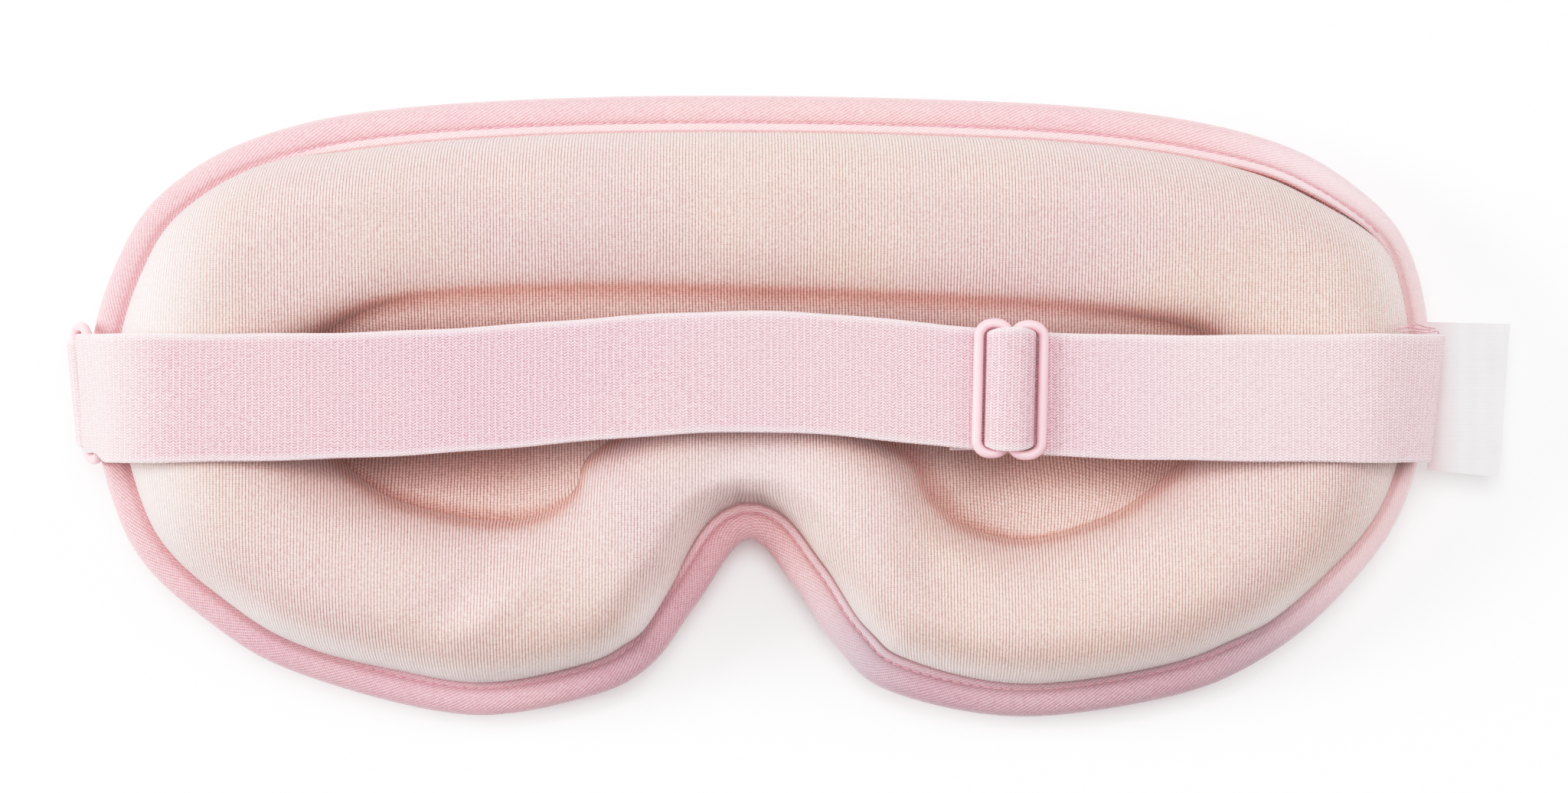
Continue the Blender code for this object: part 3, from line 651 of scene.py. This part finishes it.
def sculpt(s):
    """Small hollows, folds and swellings of the face side, in metres."""
    x, y = s.x / MM, s.y / MM
    away = smooth(s.inset, 9 * MM, 14 * MM) * (1 - smooth(s.share, 0.8, 0.97))
    folds = sum(height * bump(x, at, width) for height, at, width in FOREHEAD_FOLDS)
    folds = folds * smooth(y, 20, 26) * (1 - smooth(y, 38, 44))
    creases = sum(height * ridge(x, y, *shape) for height, *shape in LOBE_CREASES)
    wave = 0.14 * np.sin(x * 0.19 + 1.3) + 0.12 * np.sin(y * 0.3 + x * 0.06)
    lobes = sum(height * ridge(x, y, *shape) for height, *shape in LOBE_SWELLS)
    lobes = lobes * smooth(s.inset, 7 * MM, 12 * MM) * (1 - smooth(s.share, 0.7, 1))
    body = (folds + creases + wave) * away + lobes
    # The bridge dives into a hollow just above the notch, under an arched fold.
    arch_y = -14.2 - 0.07 * (x + 3) ** 2
    hollow = -2.4 * bump(x, -3, 6.5) * smooth(arch_y - y, -0.6, 0.9)
    hollow *= smooth(s.inset, 5 * MM, 7 * MM)
    brow = 1.2 * bump(x, -3, 6) * bump(y - arch_y, 2.2, 2.0)
    pucker = sum(height * bump(x, *across) * bump(y, *up) for height, across, up in PUCKERS)
    return (body + hollow + brow + pucker) * MM


def floor_height(x, y):
    bridge = (1 - smooth(np.abs(x - BRIDGE_X), *BRIDGE_CLIMB)) * (1 - smooth(y, *BRIDGE_FADE))
    return (FLOOR_HEIGHT + FOREHEAD_FLOOR_RISE * smooth(y, *FOREHEAD_CLIMB)
            + CHEEK_FLOOR_RISE * smooth(-y, *CHEEK_CLIMB) + BRIDGE_FLOOR_RISE * bridge)


def wall(share, x, y):
    """How high the wall of the recess stands, from 0 at the crease to 1 at the crown.

    It drops steeply into the eye cups, and gently from the forehead and from the bridge.
    """
    above = smooth(y, *FOREHEAD_SLOPE) * (1 - smooth(np.abs(x - BOW_X), *FOREHEAD_CORNERS))
    beside = smooth(-y, *BRIDGE_SLOPE) * sum(bump(x, *side) for side in BRIDGE_WALLS)
    beside += LEFT_GENTLENESS * bump(x, *LEFT_WALL) * (1 - smooth(y, *LEFT_WALL_FADE))
    cheek = CHEEK_GENTLENESS * smooth(-y, *CHEEK_SLOPE) * (1 - np.clip(beside, 0, 1))
    gentle = np.clip(np.clip(above + beside, 0, 1) + cheek, 0, 1)
    steep = rounded(share, STEEP_POWER)
    return steep + (1 - (1 - share) ** GENTLE_POWER - steep) * gentle


def face_height(s):
    edge = EDGE_HEIGHT + end_lift(s.x) + GAP / 2 + EDGE_SHEET
    top = crown(s.x, s.y)
    climb = (s.inset - s.rise) / (CROWN_AT * s.width - s.rise)
    beside_notch = bump(s.x, BRIDGE_X, 26 * MM) * smooth(-s.y, 18 * MM, 26 * MM)
    outer = edge + (top - edge) * rounded(climb, FLANK_POWER + NOTCH_FULLNESS * beside_notch)
    floor = floor_height(s.x, s.y)
    inner = floor + (top - floor) * wall(np.clip((1 - s.share) / (1 - CROWN_AT), 0, 1), s.x, s.y)
    return np.where(s.share <= CROWN_AT, outer, inner) + sculpt(s)


def front_height(s):
    edge = EDGE_HEIGHT + end_lift(s.x) - GAP / 2 - EDGE_SHEET
    fall = (s.inset - RISE_INSET) / (FRONT_FLAT_AT * s.width - RISE_INSET)
    return edge * (1 - rounded(fall, FRONT_POWER))


def sheet_thickness(s):
    """Thin where the binding clamps cover and lining, full further in."""
    share = np.clip((s.inset - RISE_INSET) / (2 * MM), 0, 1)
    return EDGE_SHEET + (THICKNESS - EDGE_SHEET) * share


def cloth_uv(s, height):
    """Cloth coordinates in millimetres: the plan, plus the extra length over the roll's flanks."""
    rows = s.ring_count
    z, inset, share = (values[:rows * COUNT].reshape(rows, COUNT)
                       for values in (height, s.inset, s.share))
    run = np.hypot(np.diff(z, axis=0), np.diff(inset, axis=0))
    extra = np.vstack([np.zeros(COUNT), np.cumsum(run - np.diff(inset, axis=0), axis=0)])
    crown_row = int(np.argmin(np.abs(share.mean(axis=1) - CROWN_AT)))
    extra = (extra[crown_row] - extra).ravel()
    out = s.outward[:rows * COUNT]
    x, y = s.x[:rows * COUNT], s.y[:rows * COUNT]
    uv = np.column_stack([x + out[:, 0] * extra * 0.35, y + out[:, 1] * extra * 0.9]) / MM
    return np.vstack([uv] + [uv[a] + (uv[b] - uv[a]) * FLOOR_SHARES for a, b in s.spans])


def cloth_marks(s, height):
    """Painted light and shade on the cloth: painted shade pinker in the recess and darker in the
    crease and on the deep floor, painted light paler at its ends, along the lower brim and on the
    bridge.
    """
    on_roll = np.arange(len(s.x)) < s.ring_count * COUNT
    # Painted shade: pinker floor in the eye cups.
    recess = smooth(s.share, 0.88, 1.0) * (1 - 0.6 * smooth(s.x, 0, 40 * MM))
    # Painted light: paler at both ends, along the lower brim and on the bridge.
    ends = 0.42 * smooth(-s.x, 86 * MM, 108 * MM) + 0.2 * smooth(s.x, 92 * MM, 108 * MM)
    brim = 0.38 * (1 - smooth(s.inset, 6 * MM, 11 * MM)) * smooth(-s.y, 22 * MM, 36 * MM)
    nose = 0.18 * bump(s.x, BRIDGE_X, 16 * MM) * smooth(-s.y, 3 * MM, 9 * MM)
    # Painted shade: darker on the deep floor and along the crease line.
    deep_floor_shade = 0.65 * smooth(-height, -15.5 * MM, -11 * MM) * (s.share > 0.8)
    crease = np.maximum(smooth(s.share, 0.94, 0.985) * on_roll, deep_floor_shade)
    painted_light = np.maximum(np.maximum(ends, brim), nose)
    return {"recess": recess, "painted_light": painted_light, "crease": crease}


def layer(name, s, low, high, mat, slot, replaces):
    """A closed layer between two heights, with cloth coordinates in millimetres."""
    count = len(s.x)
    points = np.vstack([np.column_stack([s.x, s.y, low]), np.column_stack([s.x, s.y, high])])
    lid = [tuple(i + count for i in f) for f in s.faces]
    sheet = [tuple(reversed(f)) for f in s.faces]
    rim = [(i, (i + 1) % COUNT, (i + 1) % COUNT + count, i + count) for i in range(COUNT)]
    uv = np.tile(cloth_uv(s, high), (2, 1))
    marks = {mark: np.tile(values, 2) for mark, values in cloth_marks(s, high).items()}
    return make(name, points, sheet + lid + rim, mat, "mask", slot, replaces, uv, marks=marks)


def build_mask():
    skin = Spots(1.7 * MM)
    face = face_height(skin)
    layer("lining_skin", skin, face - sheet_thickness(skin), face, KNIT, "lining_knit",
          ["face_lining"])
    front = front_height(skin)
    layer("cover_skin", skin, front, front + sheet_thickness(skin), COVER, "cover_fabric",
          ["front_cover"])
    core = Spots(CORE_INSET, CORE_ROWS)
    base = front_height(core) + THICKNESS + GAP
    front_pad = layer("front_pad", core, base, base + FOAM_THICKNESS, FOAM, "foam", ["front_foam"])
    dark = base + FOAM_THICKNESS + GAP
    layer("blackout_sheet", core, dark, dark + BLACKOUT_THICKNESS, BLACKOUT, "blackout_fabric",
          ["blackout_layer"])
    pad_low = dark + BLACKOUT_THICKNESS + GAP
    pad_top = face_height(core) - THICKNESS - GAP
    face_pad = layer("face_pad", core, pad_low, pad_top, FOAM, "foam", ["face_foam"])


def tape_profile(hem):
    """Section of the folded tape, as (outward, up) in millimetres.

    It runs over the hem, the seam groove, the round band and the slot for the layers. Where no
    hem shows, that end lies low under the padding.
    """
    shown = np.array([
        (-6.05, 0.95), (-6.1, 1.35), (-5.9, 1.6), (-5.4, 1.64), (-4.95, 1.56), (-4.65, 1.3),
        (-4.35, 1.74), (-3.6, 2.06), (-2.4, 2.2), (-1.2, 1.95), (-0.4, 1.25), (0, 0),
        (-0.4, -1.25), (-1.2, -1.95), (-2.4, -2.2), (-3.8, -1.95), (-4.7, -1.6), (-5.0, -1.25),
        (-4.9, -0.95), (-1.4, -0.92), (-1.2, -0.5), (-1.2, 0.5), (-1.4, 0.92),
    ])
    tucked = shown.copy()
    tucked[:7] = [(-5.2, 0.92), (-5.3, 1.0), (-5.2, 1.1), (-5.0, 1.2), (-4.8, 1.3), (-4.5, 1.45),
                  (-4.1, 1.68)]
    return spline(tucked + (shown - tucked) * hem, 2, closed=True)


def build_binding():
    x, y = OUTER.T
    squeeze = 1 - 0.08 * smooth(x, 74 * MM, 92 * MM) - 0.22 * RIGHT_END
    # Painted shade on the tape along the cheeks and beside the notch's left side, and painted light
    # towards the right end and beside the notch's right side.
    cheek = smooth(-y, 26 * MM, 46 * MM) * (0.5 + 0.5 * smooth(x, -60 * MM, 10 * MM))
    left_of_nose = 0.6 * bump(x, -16 * MM, 13 * MM) * smooth(-y, 14 * MM, 20 * MM)
    right_of_nose = 0.45 * bump(x, 12 * MM, 9 * MM) * smooth(-y, 20 * MM, 28 * MM)
    low = np.maximum(cheek, left_of_nose)
    painted_tape_light = np.maximum(0.5 * smooth(x, 70 * MM, 100 * MM), right_of_nose)
    along = path_length(OUTER)
    points = []
    uv = []
    hems = []
    for i in range(COUNT):
        profile = tape_profile(HEM[i])
        around = path_length(profile)
        out = profile[:, 0] * squeeze[i] * MM
        up = profile[:, 1] * MM
        x = OUTER[i, 0] + OUTWARD[i, 0] * out
        y = OUTER[i, 1] + OUTWARD[i, 1] * out
        z = EDGE_HEIGHT + end_lift(OUTER[i, 0]) + up
        points += list(np.column_stack([x, y, z]))
        uv += [(along[i] / MM, a) for a in around]
        hems += list(HEM[i] * smooth(-profile[:, 0], 4.5, 4.8) * (profile[:, 1] > 0))
    sides = len(profile)
    faces = grid_faces(COUNT, sides, wrap_rows=True, wrap_columns=True)
    marks = {"hem": hems, "low": np.repeat(low, sides), "painted_light": np.repeat(painted_tape_light, sides)}
    make("binding_tape", points, faces, TAPE, "mask", "binding_tape", ["edge_binding"], uv,
         sharp=60, marks=marks)
    row_of_stitches("binding_stitches", 4.65 * MM * squeeze, 1.5 * MM, 1.75 * MM, 1.4 * MM,
                    0.13 * MM, THREAD, HEM > 0.3, ["binding_thread"])
    # Beaded row along the lining's seam at the top: its dark red is painted shade of the gap between
    # hem and lining.
    top = (HEM > 0.8) & (OUTER[:, 1] > 36 * MM)
    row_of_stitches("painted_shade_seam_beads", 6.5 * MM * squeeze, 1.25 * MM, 0.44 * MM, 0.34 * MM,
                    0.16 * MM, SHADE_THREAD, top)


def capsule(centre, ahead, length, radius, sides=6):
    """Points and faces of a short round-ended thread."""
    up = np.array((0, 0, 1.0))
    side = np.cross(ahead, up)
    points = []
    for place, size in [(-0.42, 0.75), (-0.25, 1.0), (0.25, 1.0), (0.42, 0.75)]:
        for k in range(sides):
            a = 2 * math.pi * k / sides
            sag = -0.5 * radius * (2 * place) ** 2
            points.append(centre + ahead * place * length + up * sag
                          + (math.cos(a) * side + math.sin(a) * up) * size * radius)
    points.append(centre - ahead * 0.5 * length - up * 0.5 * radius)
    points.append(centre + ahead * 0.5 * length - up * 0.5 * radius)
    faces = grid_faces(4, sides, wrap_columns=True)
    first, last = 4 * sides, 4 * sides + 1
    for k in range(sides):
        q = (k + 1) % sides
        faces.append((first, q, k))
        faces.append((last, 3 * sides + k, 3 * sides + q))
    return points, faces


def add_to(points, faces, new, rims):
    """Appends one thread's points and faces to those of a piece."""
    faces += [tuple(i + len(points) for i in f) for f in rims]
    points += new


def row_of_stitches(name, inset, lift, pitch, length, radius, mat, shown, replaces=()):
    """One row of stitches along the tape, at an inset and a height above the edge's middle."""
    line = OUTER - OUTWARD * np.broadcast_to(inset, (COUNT,))[:, None]
    path = np.column_stack([line, EDGE_HEIGHT + end_lift(OUTER[:, 0]) + lift, shown])
    path = np.vstack([path, path[:1]])
    run = path_length(path[:, :3])
    points = []
    faces = []
    for at in np.arange(pitch / 2, run[-1], pitch):
        here, near, far = (np.array([np.interp(a, run, path[:, c]) for c in range(4)])
                           for a in (at, at - 0.4 * MM, at + 0.4 * MM))
        if here[3] < 0.5:
            continue
        ahead = (far - near)[:3]
        ahead /= np.linalg.norm(ahead)
        add_to(points, faces, *capsule(here[:3], ahead, length, radius))
    make(name, points, faces, mat, "mask", "thread", replaces)


# ---------------------------------------------------------------- the strap

def ring_pinch(x):
    return RING_PINCH * smooth(-x, *PINCH_RANGE)


def strap_centre(x):
    spread = np.where(x > BOW_X, BOW_SPREADS[1], BOW_SPREADS[0])
    return STRAP_Y + STRAP_BOW * bump(x, BOW_X, spread) + ring_pinch(x)


def strap_half_width(x):
    wide = STRAP_WIDENING * np.minimum(1.0, np.abs(x) / WIDENING_END) ** 1.5
    return (STRAP_WIDTH + wide) / 2 - ring_pinch(x)


def resample(path, step):
    path = np.array(path, float)
    run = path_length(path)
    at = np.linspace(0, run[-1], max(3, int(run[-1] / step) + 1))
    return np.column_stack([np.interp(at, run, path[:, k]) for k in range(path.shape[1])]), at


def strip_section(half_width, thickness, steps=22):
    """Closed section of webbing: (across, up) with rounded edges."""
    r = thickness / 2
    top = [(a, r) for a in np.linspace(-half_width + r, half_width - r, steps)]
    turn = (math.pi / 4, 0, -math.pi / 4)
    right = [(half_width - r + r * math.cos(a), r * math.sin(a)) for a in turn]
    bottom = [(-a, -r) for a, _ in top]
    left = [(-a, -b) for a, b in right]
    return np.array(top + right + bottom + left)


def painted_light(x):
    """Painted light on the elastic along the strap: how much paler it is, most at its left end and to
    the right.
    """
    x = x / MM
    return 0.07 * smooth(x, -50, -5) + 0.16 * smooth(x, 46, 68) + 0.34 * smooth(-x, 98, 112)


def webbing(name, path, body, replaces, thickness=THICKNESS, centre=strap_centre,
            half_width=strap_half_width, wave=0.0, shift=0.0, step=0.8 * MM, slant=lambda x: 0.0):
    """A strip of cloth along (x, z) points, its width along Y; UV in millimetres."""
    path, along = resample(path, step)
    ahead = unit_rows(np.gradient(path, axis=0))
    points = []
    uv = []
    pale = []
    for (x, z), (dx, dz), s in zip(path, ahead, along):
        wide = float(half_width(x))
        section = strip_section(wide, thickness)
        # Painted highlight along the strip's edges, with painted light along the strap.
        painted_edge_highlight = smooth(np.abs(section[:, 0]), wide - 0.9 * MM, wide - 0.2 * MM)
        pale += list(np.maximum(0.6 * painted_edge_highlight, painted_light(x)))
        ripple = wave * (math.sin(s * 70 + shift) * 0.6 + math.sin(s * 163 + 2 * shift) * 0.4)
        edge = wave * 0.6 * math.sin(s * 310 + 1 + shift)
        across = section[:, 0] + edge * np.sign(section[:, 0])
        up = section[:, 1] + ripple
        points += list(np.column_stack([x - dz * up + float(slant(x)) * across,
                                        float(centre(x)) + across, z + dx * up]))
        uv += [(s / MM, a / MM) for a in section[:, 0]]
    m = len(section)
    n = len(path)
    faces = grid_faces(n, m, wrap_columns=True)
    faces.append(tuple(range(m)))
    faces.append(tuple(reversed(range((n - 1) * m, n * m))))
    return make(name, points, faces, ELASTIC, body, "elastic", replaces, uv, sharp=50,
                marks={"painted_light": pale})


def arc(centre, radius, start, stop, count=14):
    angles = np.radians(np.linspace(start, stop, count))
    return [(centre[0] + radius * math.cos(a), centre[1] + radius * math.sin(a)) for a in angles]


def build_strap():
    # Outer run, split under the slider so that each half bends at one end only.
    down = spline([(BAND_END, BAND_Z), (DROP_START, BAND_Z), *metres(RIGHT_DROP)], 6)
    fold = arc(SEAM_FOLD, SEAM_FOLD_RADIUS, 25, -90)
    right = webbing("strap_right", [(SLIDER_X, BAND_Z), *down, *fold], None,
                    ["strap_seam_end", "strap_band"], wave=STRAP_WAVE, shift=0.7,
                    slant=lambda x: 0.11 * smooth(x, 98 * MM, 112 * MM))
    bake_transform(right)

    upper = spline([(-BAND_END, BAND_Z), (-DROP_START, BAND_Z), *metres(LEFT_DROP)], 6)
    turn = arc(RING_INNER_BAR, FOLD_RADIUS, 190, 330)
    lower = spline([*metres(LEFT_RETURN), (-DROP_START, RETURN_Z), (-BAND_END, RETURN_Z)], 6)
    left = webbing("strap_left", [(SLIDER_X, BAND_Z), *upper, *turn, *lower], None,
                   ["strap_ring_fold", "strap_band"], wave=STRAP_WAVE, shift=0.7,
                   slant=lambda x: -0.07 * smooth(-x, 105 * MM, 112 * MM))
    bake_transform(left)

    level = [(-BAND_END + 0.1 * MM, RETURN_Z), (SLIDER_X - RETURN_STOP, RETURN_Z)]
    under = webbing("strap_return_run", level, None, ["strap_return"],
                    half_width=lambda x: strap_half_width(x) - 0.3 * MM)
    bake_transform(under)


def wire_loop(centre, half_width, half_height, end, lean=0.0, count=96):
    cx, cy, cz = centre
    line = []
    for k in range(count):
        a = 2 * math.pi * (k + 0.5) / count
        x = half_width * math.copysign(abs(math.cos(a)) ** 0.88, math.cos(a))
        y = end * math.copysign(abs(math.sin(a)) ** 0.9, math.sin(a))
        y += math.copysign(half_height - end, y)
        line.append((cx + x * math.cos(lean), cy + y, cz + x * math.sin(lean)))
    return resample(line + line[:1], 0.45 * MM)[0][:-1]


def tube_points(path, radius, sides=16):
    """Points of a closed round bar along a flat loop."""
    path = np.array(path)
    ahead = unit_rows(np.roll(path, -1, axis=0) - np.roll(path, 1, axis=0))
    third = len(path) // 3
    up = np.cross(path[third] - path[0], path[2 * third] - path[0])
    up /= np.linalg.norm(up)
    points = []
    for p, t in zip(path, ahead):
        side = np.cross(t, up)
        for k in range(sides):
            a = 2 * math.pi * k / sides
            points.append(p + radius * (math.cos(a) * side + math.sin(a) * up))
    return points, grid_faces(len(path), sides, wrap_rows=True, wrap_columns=True)


def build_slider():
    """Two moulded loops joined along their shared bar."""
    loops = []
    for side in (1, -1):
        middle = (SLIDER_X + side * TWIN_OFFSET, SLIDER_Y - side * TWIN_SHIFT, SLIDER_Z)
        line = wire_loop(middle, LOOP_HALF_WIDTH, LOOP_HALF_HEIGHT, LOOP_END)
        points, faces = tube_points(line, WIRE_RADIUS)
        loops.append(([(x + SLIDER_SLANT * (y - SLIDER_Y), y, z) for x, y, z in points], faces))
    moulding = make("slider_moulding", *loops[0], PLASTIC, "slider", "moulded_plastic",
                    ["slider_frame"])
    second = link("slider_second_loop", outward_mesh("slider_second_loop", *loops[1]))
    join = moulding.modifiers.new("shared_bar", "BOOLEAN")
    join.operation = "UNION"
    join.object = second
    join.solver = "EXACT"
    bpy.context.view_layer.update()
    graph = bpy.context.evaluated_depsgraph_get()
    joined = bpy.data.meshes.new_from_object(moulding.evaluated_get(graph))
    moulding.modifiers.clear()
    moulding.data = joined
    joined.shade_smooth()
    joined.set_sharp_from_angle(angle=math.radians(50))
    if not joined.materials:
        joined.materials.append(PLASTIC)
    bpy.data.objects.remove(second, do_unlink=True)


def arch(half_width, height, base, power, count=40):
    line = []
    for k in range(count + 1):
        a = math.pi * k / count
        x = half_width * math.copysign(abs(math.cos(a)) ** power, math.cos(a))
        line.append((SLIDER_X + x, base + height * math.sin(a) ** power))
    return line


def build_crossing():
    """What the slider carries: the strap's hump, the loop round its bar and that loop's cut end."""
    half = THICKNESS / 2
    base = BAND_Z + half + 0.1 * MM

    def middle(x):
        return SLIDER_Y

    def hump_half_width(x):
        return HUMP_HALF_WIDTH - HUMP_WAIST * abs((x - SLIDER_X) / HUMP_REACH) ** 3

    webbing("strap_hump", arch(HUMP_REACH - half, HUMP_HEIGHT - half, base, 0.8), "slider",
            ["strap_crossing"], centre=middle, half_width=hump_half_width, step=0.4 * MM,
            slant=lambda x: SLIDER_SLANT)
    webbing("bar_loop", arch(1.85 * MM, 2.25 * MM, base, 0.7), "slider", ["strap_bar_loop"],
            thickness=0.6 * MM, centre=middle, half_width=lambda x: 9.5 * MM, step=0.4 * MM)
    low, high = np.array(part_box("strap_loop_end"))
    _, leg_y, leg_z = (low + high) / 2
    webbing("loop_cut_end", [(low[0], leg_z), (high[0], leg_z)], "slider", ["strap_loop_end"],
            thickness=0.7 * MM, centre=lambda x: leg_y, half_width=lambda x: (high - low)[1] / 2,
            step=0.4 * MM)
    zigzag("loop_stitching", "loop_stitches", "slider")


def zigzag(name, node, body):
    """A row of zigzag stitches in the place of a CAD thread."""
    low, high = np.array(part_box(node))
    x, _, z = (low + high) / 2
    swing = (high[0] - low[0]) / 2 - 0.15 * MM
    count = 14
    points = []
    faces = []
    ys = np.linspace(low[1] + 0.1 * MM, high[1] - 0.1 * MM, count + 1)
    for k in range(count):
        side = 1 if k % 2 else -1
        start = np.array((x - side * swing, ys[k], z))
        stop = np.array((x + side * swing, ys[k + 1], z))
        length = np.linalg.norm(stop - start)
        add_to(points, faces, *capsule((start + stop) / 2, (stop - start) / length,
                                       length * 1.05, 0.16 * MM))
    make(name, points, faces, THREAD, body, "thread", [node])


def build_ring():
    ox, oz = RING_OUTER_BAR
    ix, iz = RING_INNER_BAR
    lean = math.atan2(iz - oz, ix - ox)
    half = math.hypot(ix - ox, iz - oz) / 2
    low, high = np.array(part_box("strap_ring"))
    middle_y = (low + high)[1] / 2
    half_height = (high - low)[1] / 2 - WIRE_RADIUS
    line = wire_loop(((ox + ix) / 2, middle_y, (oz + iz) / 2), half, half_height, RING_END, lean)
    points, faces = tube_points(line, WIRE_RADIUS)
    points = [(x - RING_SLANT * (y - middle_y), y, z) for x, y, z in points]
    make("seam_ring", points, faces, PLASTIC, "mask", "moulded_plastic", ["strap_ring"])
    top, bottom = ((HOLDER_ROOT_X, oz + height) for height in HOLDER_LAYERS)
    webbing("ring_holder", [top, *arc((ox, oz), HOLDER_RADIUS, 60, 290, 24), bottom], "mask",
            ["ring_tab"], thickness=0.5 * MM, centre=lambda x: middle_y,
            half_width=lambda x: HOLDER_HALF_WIDTH, step=0.3 * MM, slant=lambda x: -RING_SLANT)
    zigzag("left_tack", "seam_tack_left", "mask")
    zigzag("right_tack", "seam_tack_right", "mask")


def build_label():
    """Thin blank ribbon with a finely pinked end, slightly curled."""
    low, high = np.array(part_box("care_label"))
    z = (low[2] + high[2]) / 2
    rows, columns = 121, 24
    t = np.linspace(0, 1, columns)
    root = low[0] - 1.2 * MM
    points = []
    uv = []
    for side in (1, -1):
        for i in range(rows):
            rise = i / (rows - 1)
            far = high[0] - 2.0 * MM * (1 - rise) - 0.16 * MM * (i % 2)
            x = root + (far - root) * t
            # The ribbon hangs a little askew: both long edges slope down to the right.
            y = low[1] + (high[1] - low[1]) * rise + (0.5 - t) * 0.8 * MM * (1.4 - rise)
            curl = 0.5 * MM * t**2 * math.sin(rise * 5.2 + 0.6) + 0.25 * MM * t
            points += list(np.column_stack([x, y, z + curl + side * 0.09 * MM]))
            uv += list(np.column_stack([x, y]) / MM)
    count = rows * columns
    top = grid_faces(rows, columns)
    faces = top + [tuple(i + count for i in reversed(f)) for f in top]
    border = [i * columns for i in range(rows)]
    border += [(rows - 1) * columns + k for k in range(1, columns)]
    border += [i * columns + columns - 1 for i in range(rows - 2, -1, -1)]
    border += range(columns - 2, 0, -1)
    for a, b in zip(border, border[1:] + border[:1]):
        faces.append((a, b, b + count, a + count))
    label = make("care_ribbon", points, faces, LABEL, None, "label_satin", ["care_label"], uv,
                 sharp=60)
    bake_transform(label)


def build_threads():
    """A few loose thread ends where the strap meets the right seam."""
    runs = [
        [(105.2, 12.5, 25.4), (107.4, 12.7, 24.4), (109.6, 12.4, 22.6), (111.9, 12.6, 20.0)],
        [(104.4, 12.9, 24.6), (106.8, 13.3, 23.6), (109.0, 13.0, 21.6), (111.4, 12.9, 18.6)],
        [(106.4, 13.4, 22.8), (108.4, 13.8, 21.6), (110.2, 13.4, 19.6), (112.3, 13.1, 17.4)],
        [(110.6, 12.4, 21.8), (111.8, 12.7, 20.6), (112.6, 12.5, 19.2), (112.9, 11.9, 18.2)],
    ]
    points = []
    faces = []
    sides = 6
    for run in runs:
        path = spline(np.array(run) * MM, 6)
        ahead = unit_rows(np.gradient(path, axis=0))
        new = []
        for p, t in zip(path, ahead):
            side = np.cross(t, (0, 0, 1.0))
            side /= np.linalg.norm(side)
            up = np.cross(side, t)
            new += [p + 0.11 * MM * (math.cos(a) * side + math.sin(a) * up)
                    for a in np.linspace(0, 2 * math.pi, sides, endpoint=False)]
        rims = grid_faces(len(path), sides, wrap_columns=True)
        last = (len(path) - 1) * sides
        rims += [tuple(range(sides)), tuple(reversed(range(last, last + sides)))]
        add_to(points, faces, new, rims)
    make("loose_threads", points, faces, THREAD, "mask", "thread")


# ---------------------------------------------------------------- stage

TONE_WHITE = 1.6
TONE_CURVE = [(0.2, 0.135), (0.4, 0.33), (0.55, 0.50), (0.7, 0.655), (0.85, 0.775), (1.0, 0.86),
              (1.25, 0.965)]
FLOOR_REACH = 1.6


def build_stage():
    mesh = bpy.data.meshes.new("floor")
    corners = [(x * FLOOR_REACH, y * FLOOR_REACH, 0) for x, y in ((-1, -1), (1, -1), (1, 1), (-1, 1))]
    mesh.from_pydata(corners, [], [(0, 1, 2, 3)])
    mesh.materials.append(floor_material())
    floor = link("floor", mesh)
    floor.location.z = -0.02 * MM


def area_light(name, place, size, power):
    """A rectangular lamp that shines at the middle of the mask."""
    data = bpy.data.lights.new(name, "AREA")
    data.shape = "RECTANGLE"
    data.size, data.size_y = size
    data.energy = power
    lamp = link(name, data)
    lamp.location = place
    lamp.rotation_euler = (-Vector(place)).to_track_quat("-Z", "Y").to_euler()


def build_lights():
    world = bpy.data.worlds.new("studio")
    world.use_nodes = True
    tree = world.node_tree
    sky = tree.nodes["Background"]
    sky.inputs["Color"].default_value = (1, 1, 1, 1)
    # The room is brighter on the forehead side than on the side of the notch.
    split = tree.nodes.new("ShaderNodeSeparateXYZ")
    tree.links.new(tree.nodes.new("ShaderNodeTexCoord").outputs["Generated"], split.inputs[0])
    glow = tree.nodes.new("ShaderNodeMapRange")
    tree.links.new(split.outputs["Y"], glow.inputs["Value"])
    glow.inputs["From Min"].default_value = -1.0
    glow.inputs["To Min"].default_value = 0.38
    glow.inputs["To Max"].default_value = 0.68
    tree.links.new(glow.outputs[0], sky.inputs["Strength"])
    bpy.context.scene.world = world
    area_light("overhead", (0.0, 0.24, 1.1), (0.5, 0.5), 6.2)
    area_light("key", (-1.5, 0.15, 0.85), (0.8, 0.6), 21.0)
    area_light("fill", (1.3, 0.3, 0.9), (1.0, 0.7), 6.0)
    view = bpy.context.scene.view_settings
    view.view_transform = "Standard"
    # A photographic tone curve: soft shoulder, deeper shadows.
    view.use_curve_mapping = True
    curves = view.curve_mapping
    curves.white_level = (TONE_WHITE,) * 3
    tone = curves.curves[3]
    tone.points[0].location = (0, 0)
    tone.points[1].location = (1, 1)
    for bright, shown in TONE_CURVE:
        tone.points.new(bright / TONE_WHITE, shown)
    curves.update()


def build_camera():
    data = bpy.data.cameras.new("view")
    data.sensor_width = SENSOR_WIDTH
    reach = CAMERA_DISTANCE - EDGE_HEIGHT
    data.lens = SENSOR_WIDTH * reach / VIEW_WIDTH
    camera = link("view", data)
    x, y = VIEW_CENTRE
    camera.location = (x - CAMERA_OFFSET, y, CAMERA_DISTANCE)
    camera.rotation_euler = (0, -math.atan2(CAMERA_OFFSET, reach), 0)
    bpy.context.scene.camera = camera


build_camera()
build_lights()
build_stage()
build_mask()
build_binding()
build_strap()
build_slider()
build_crossing()
build_ring()
build_label()
build_threads()
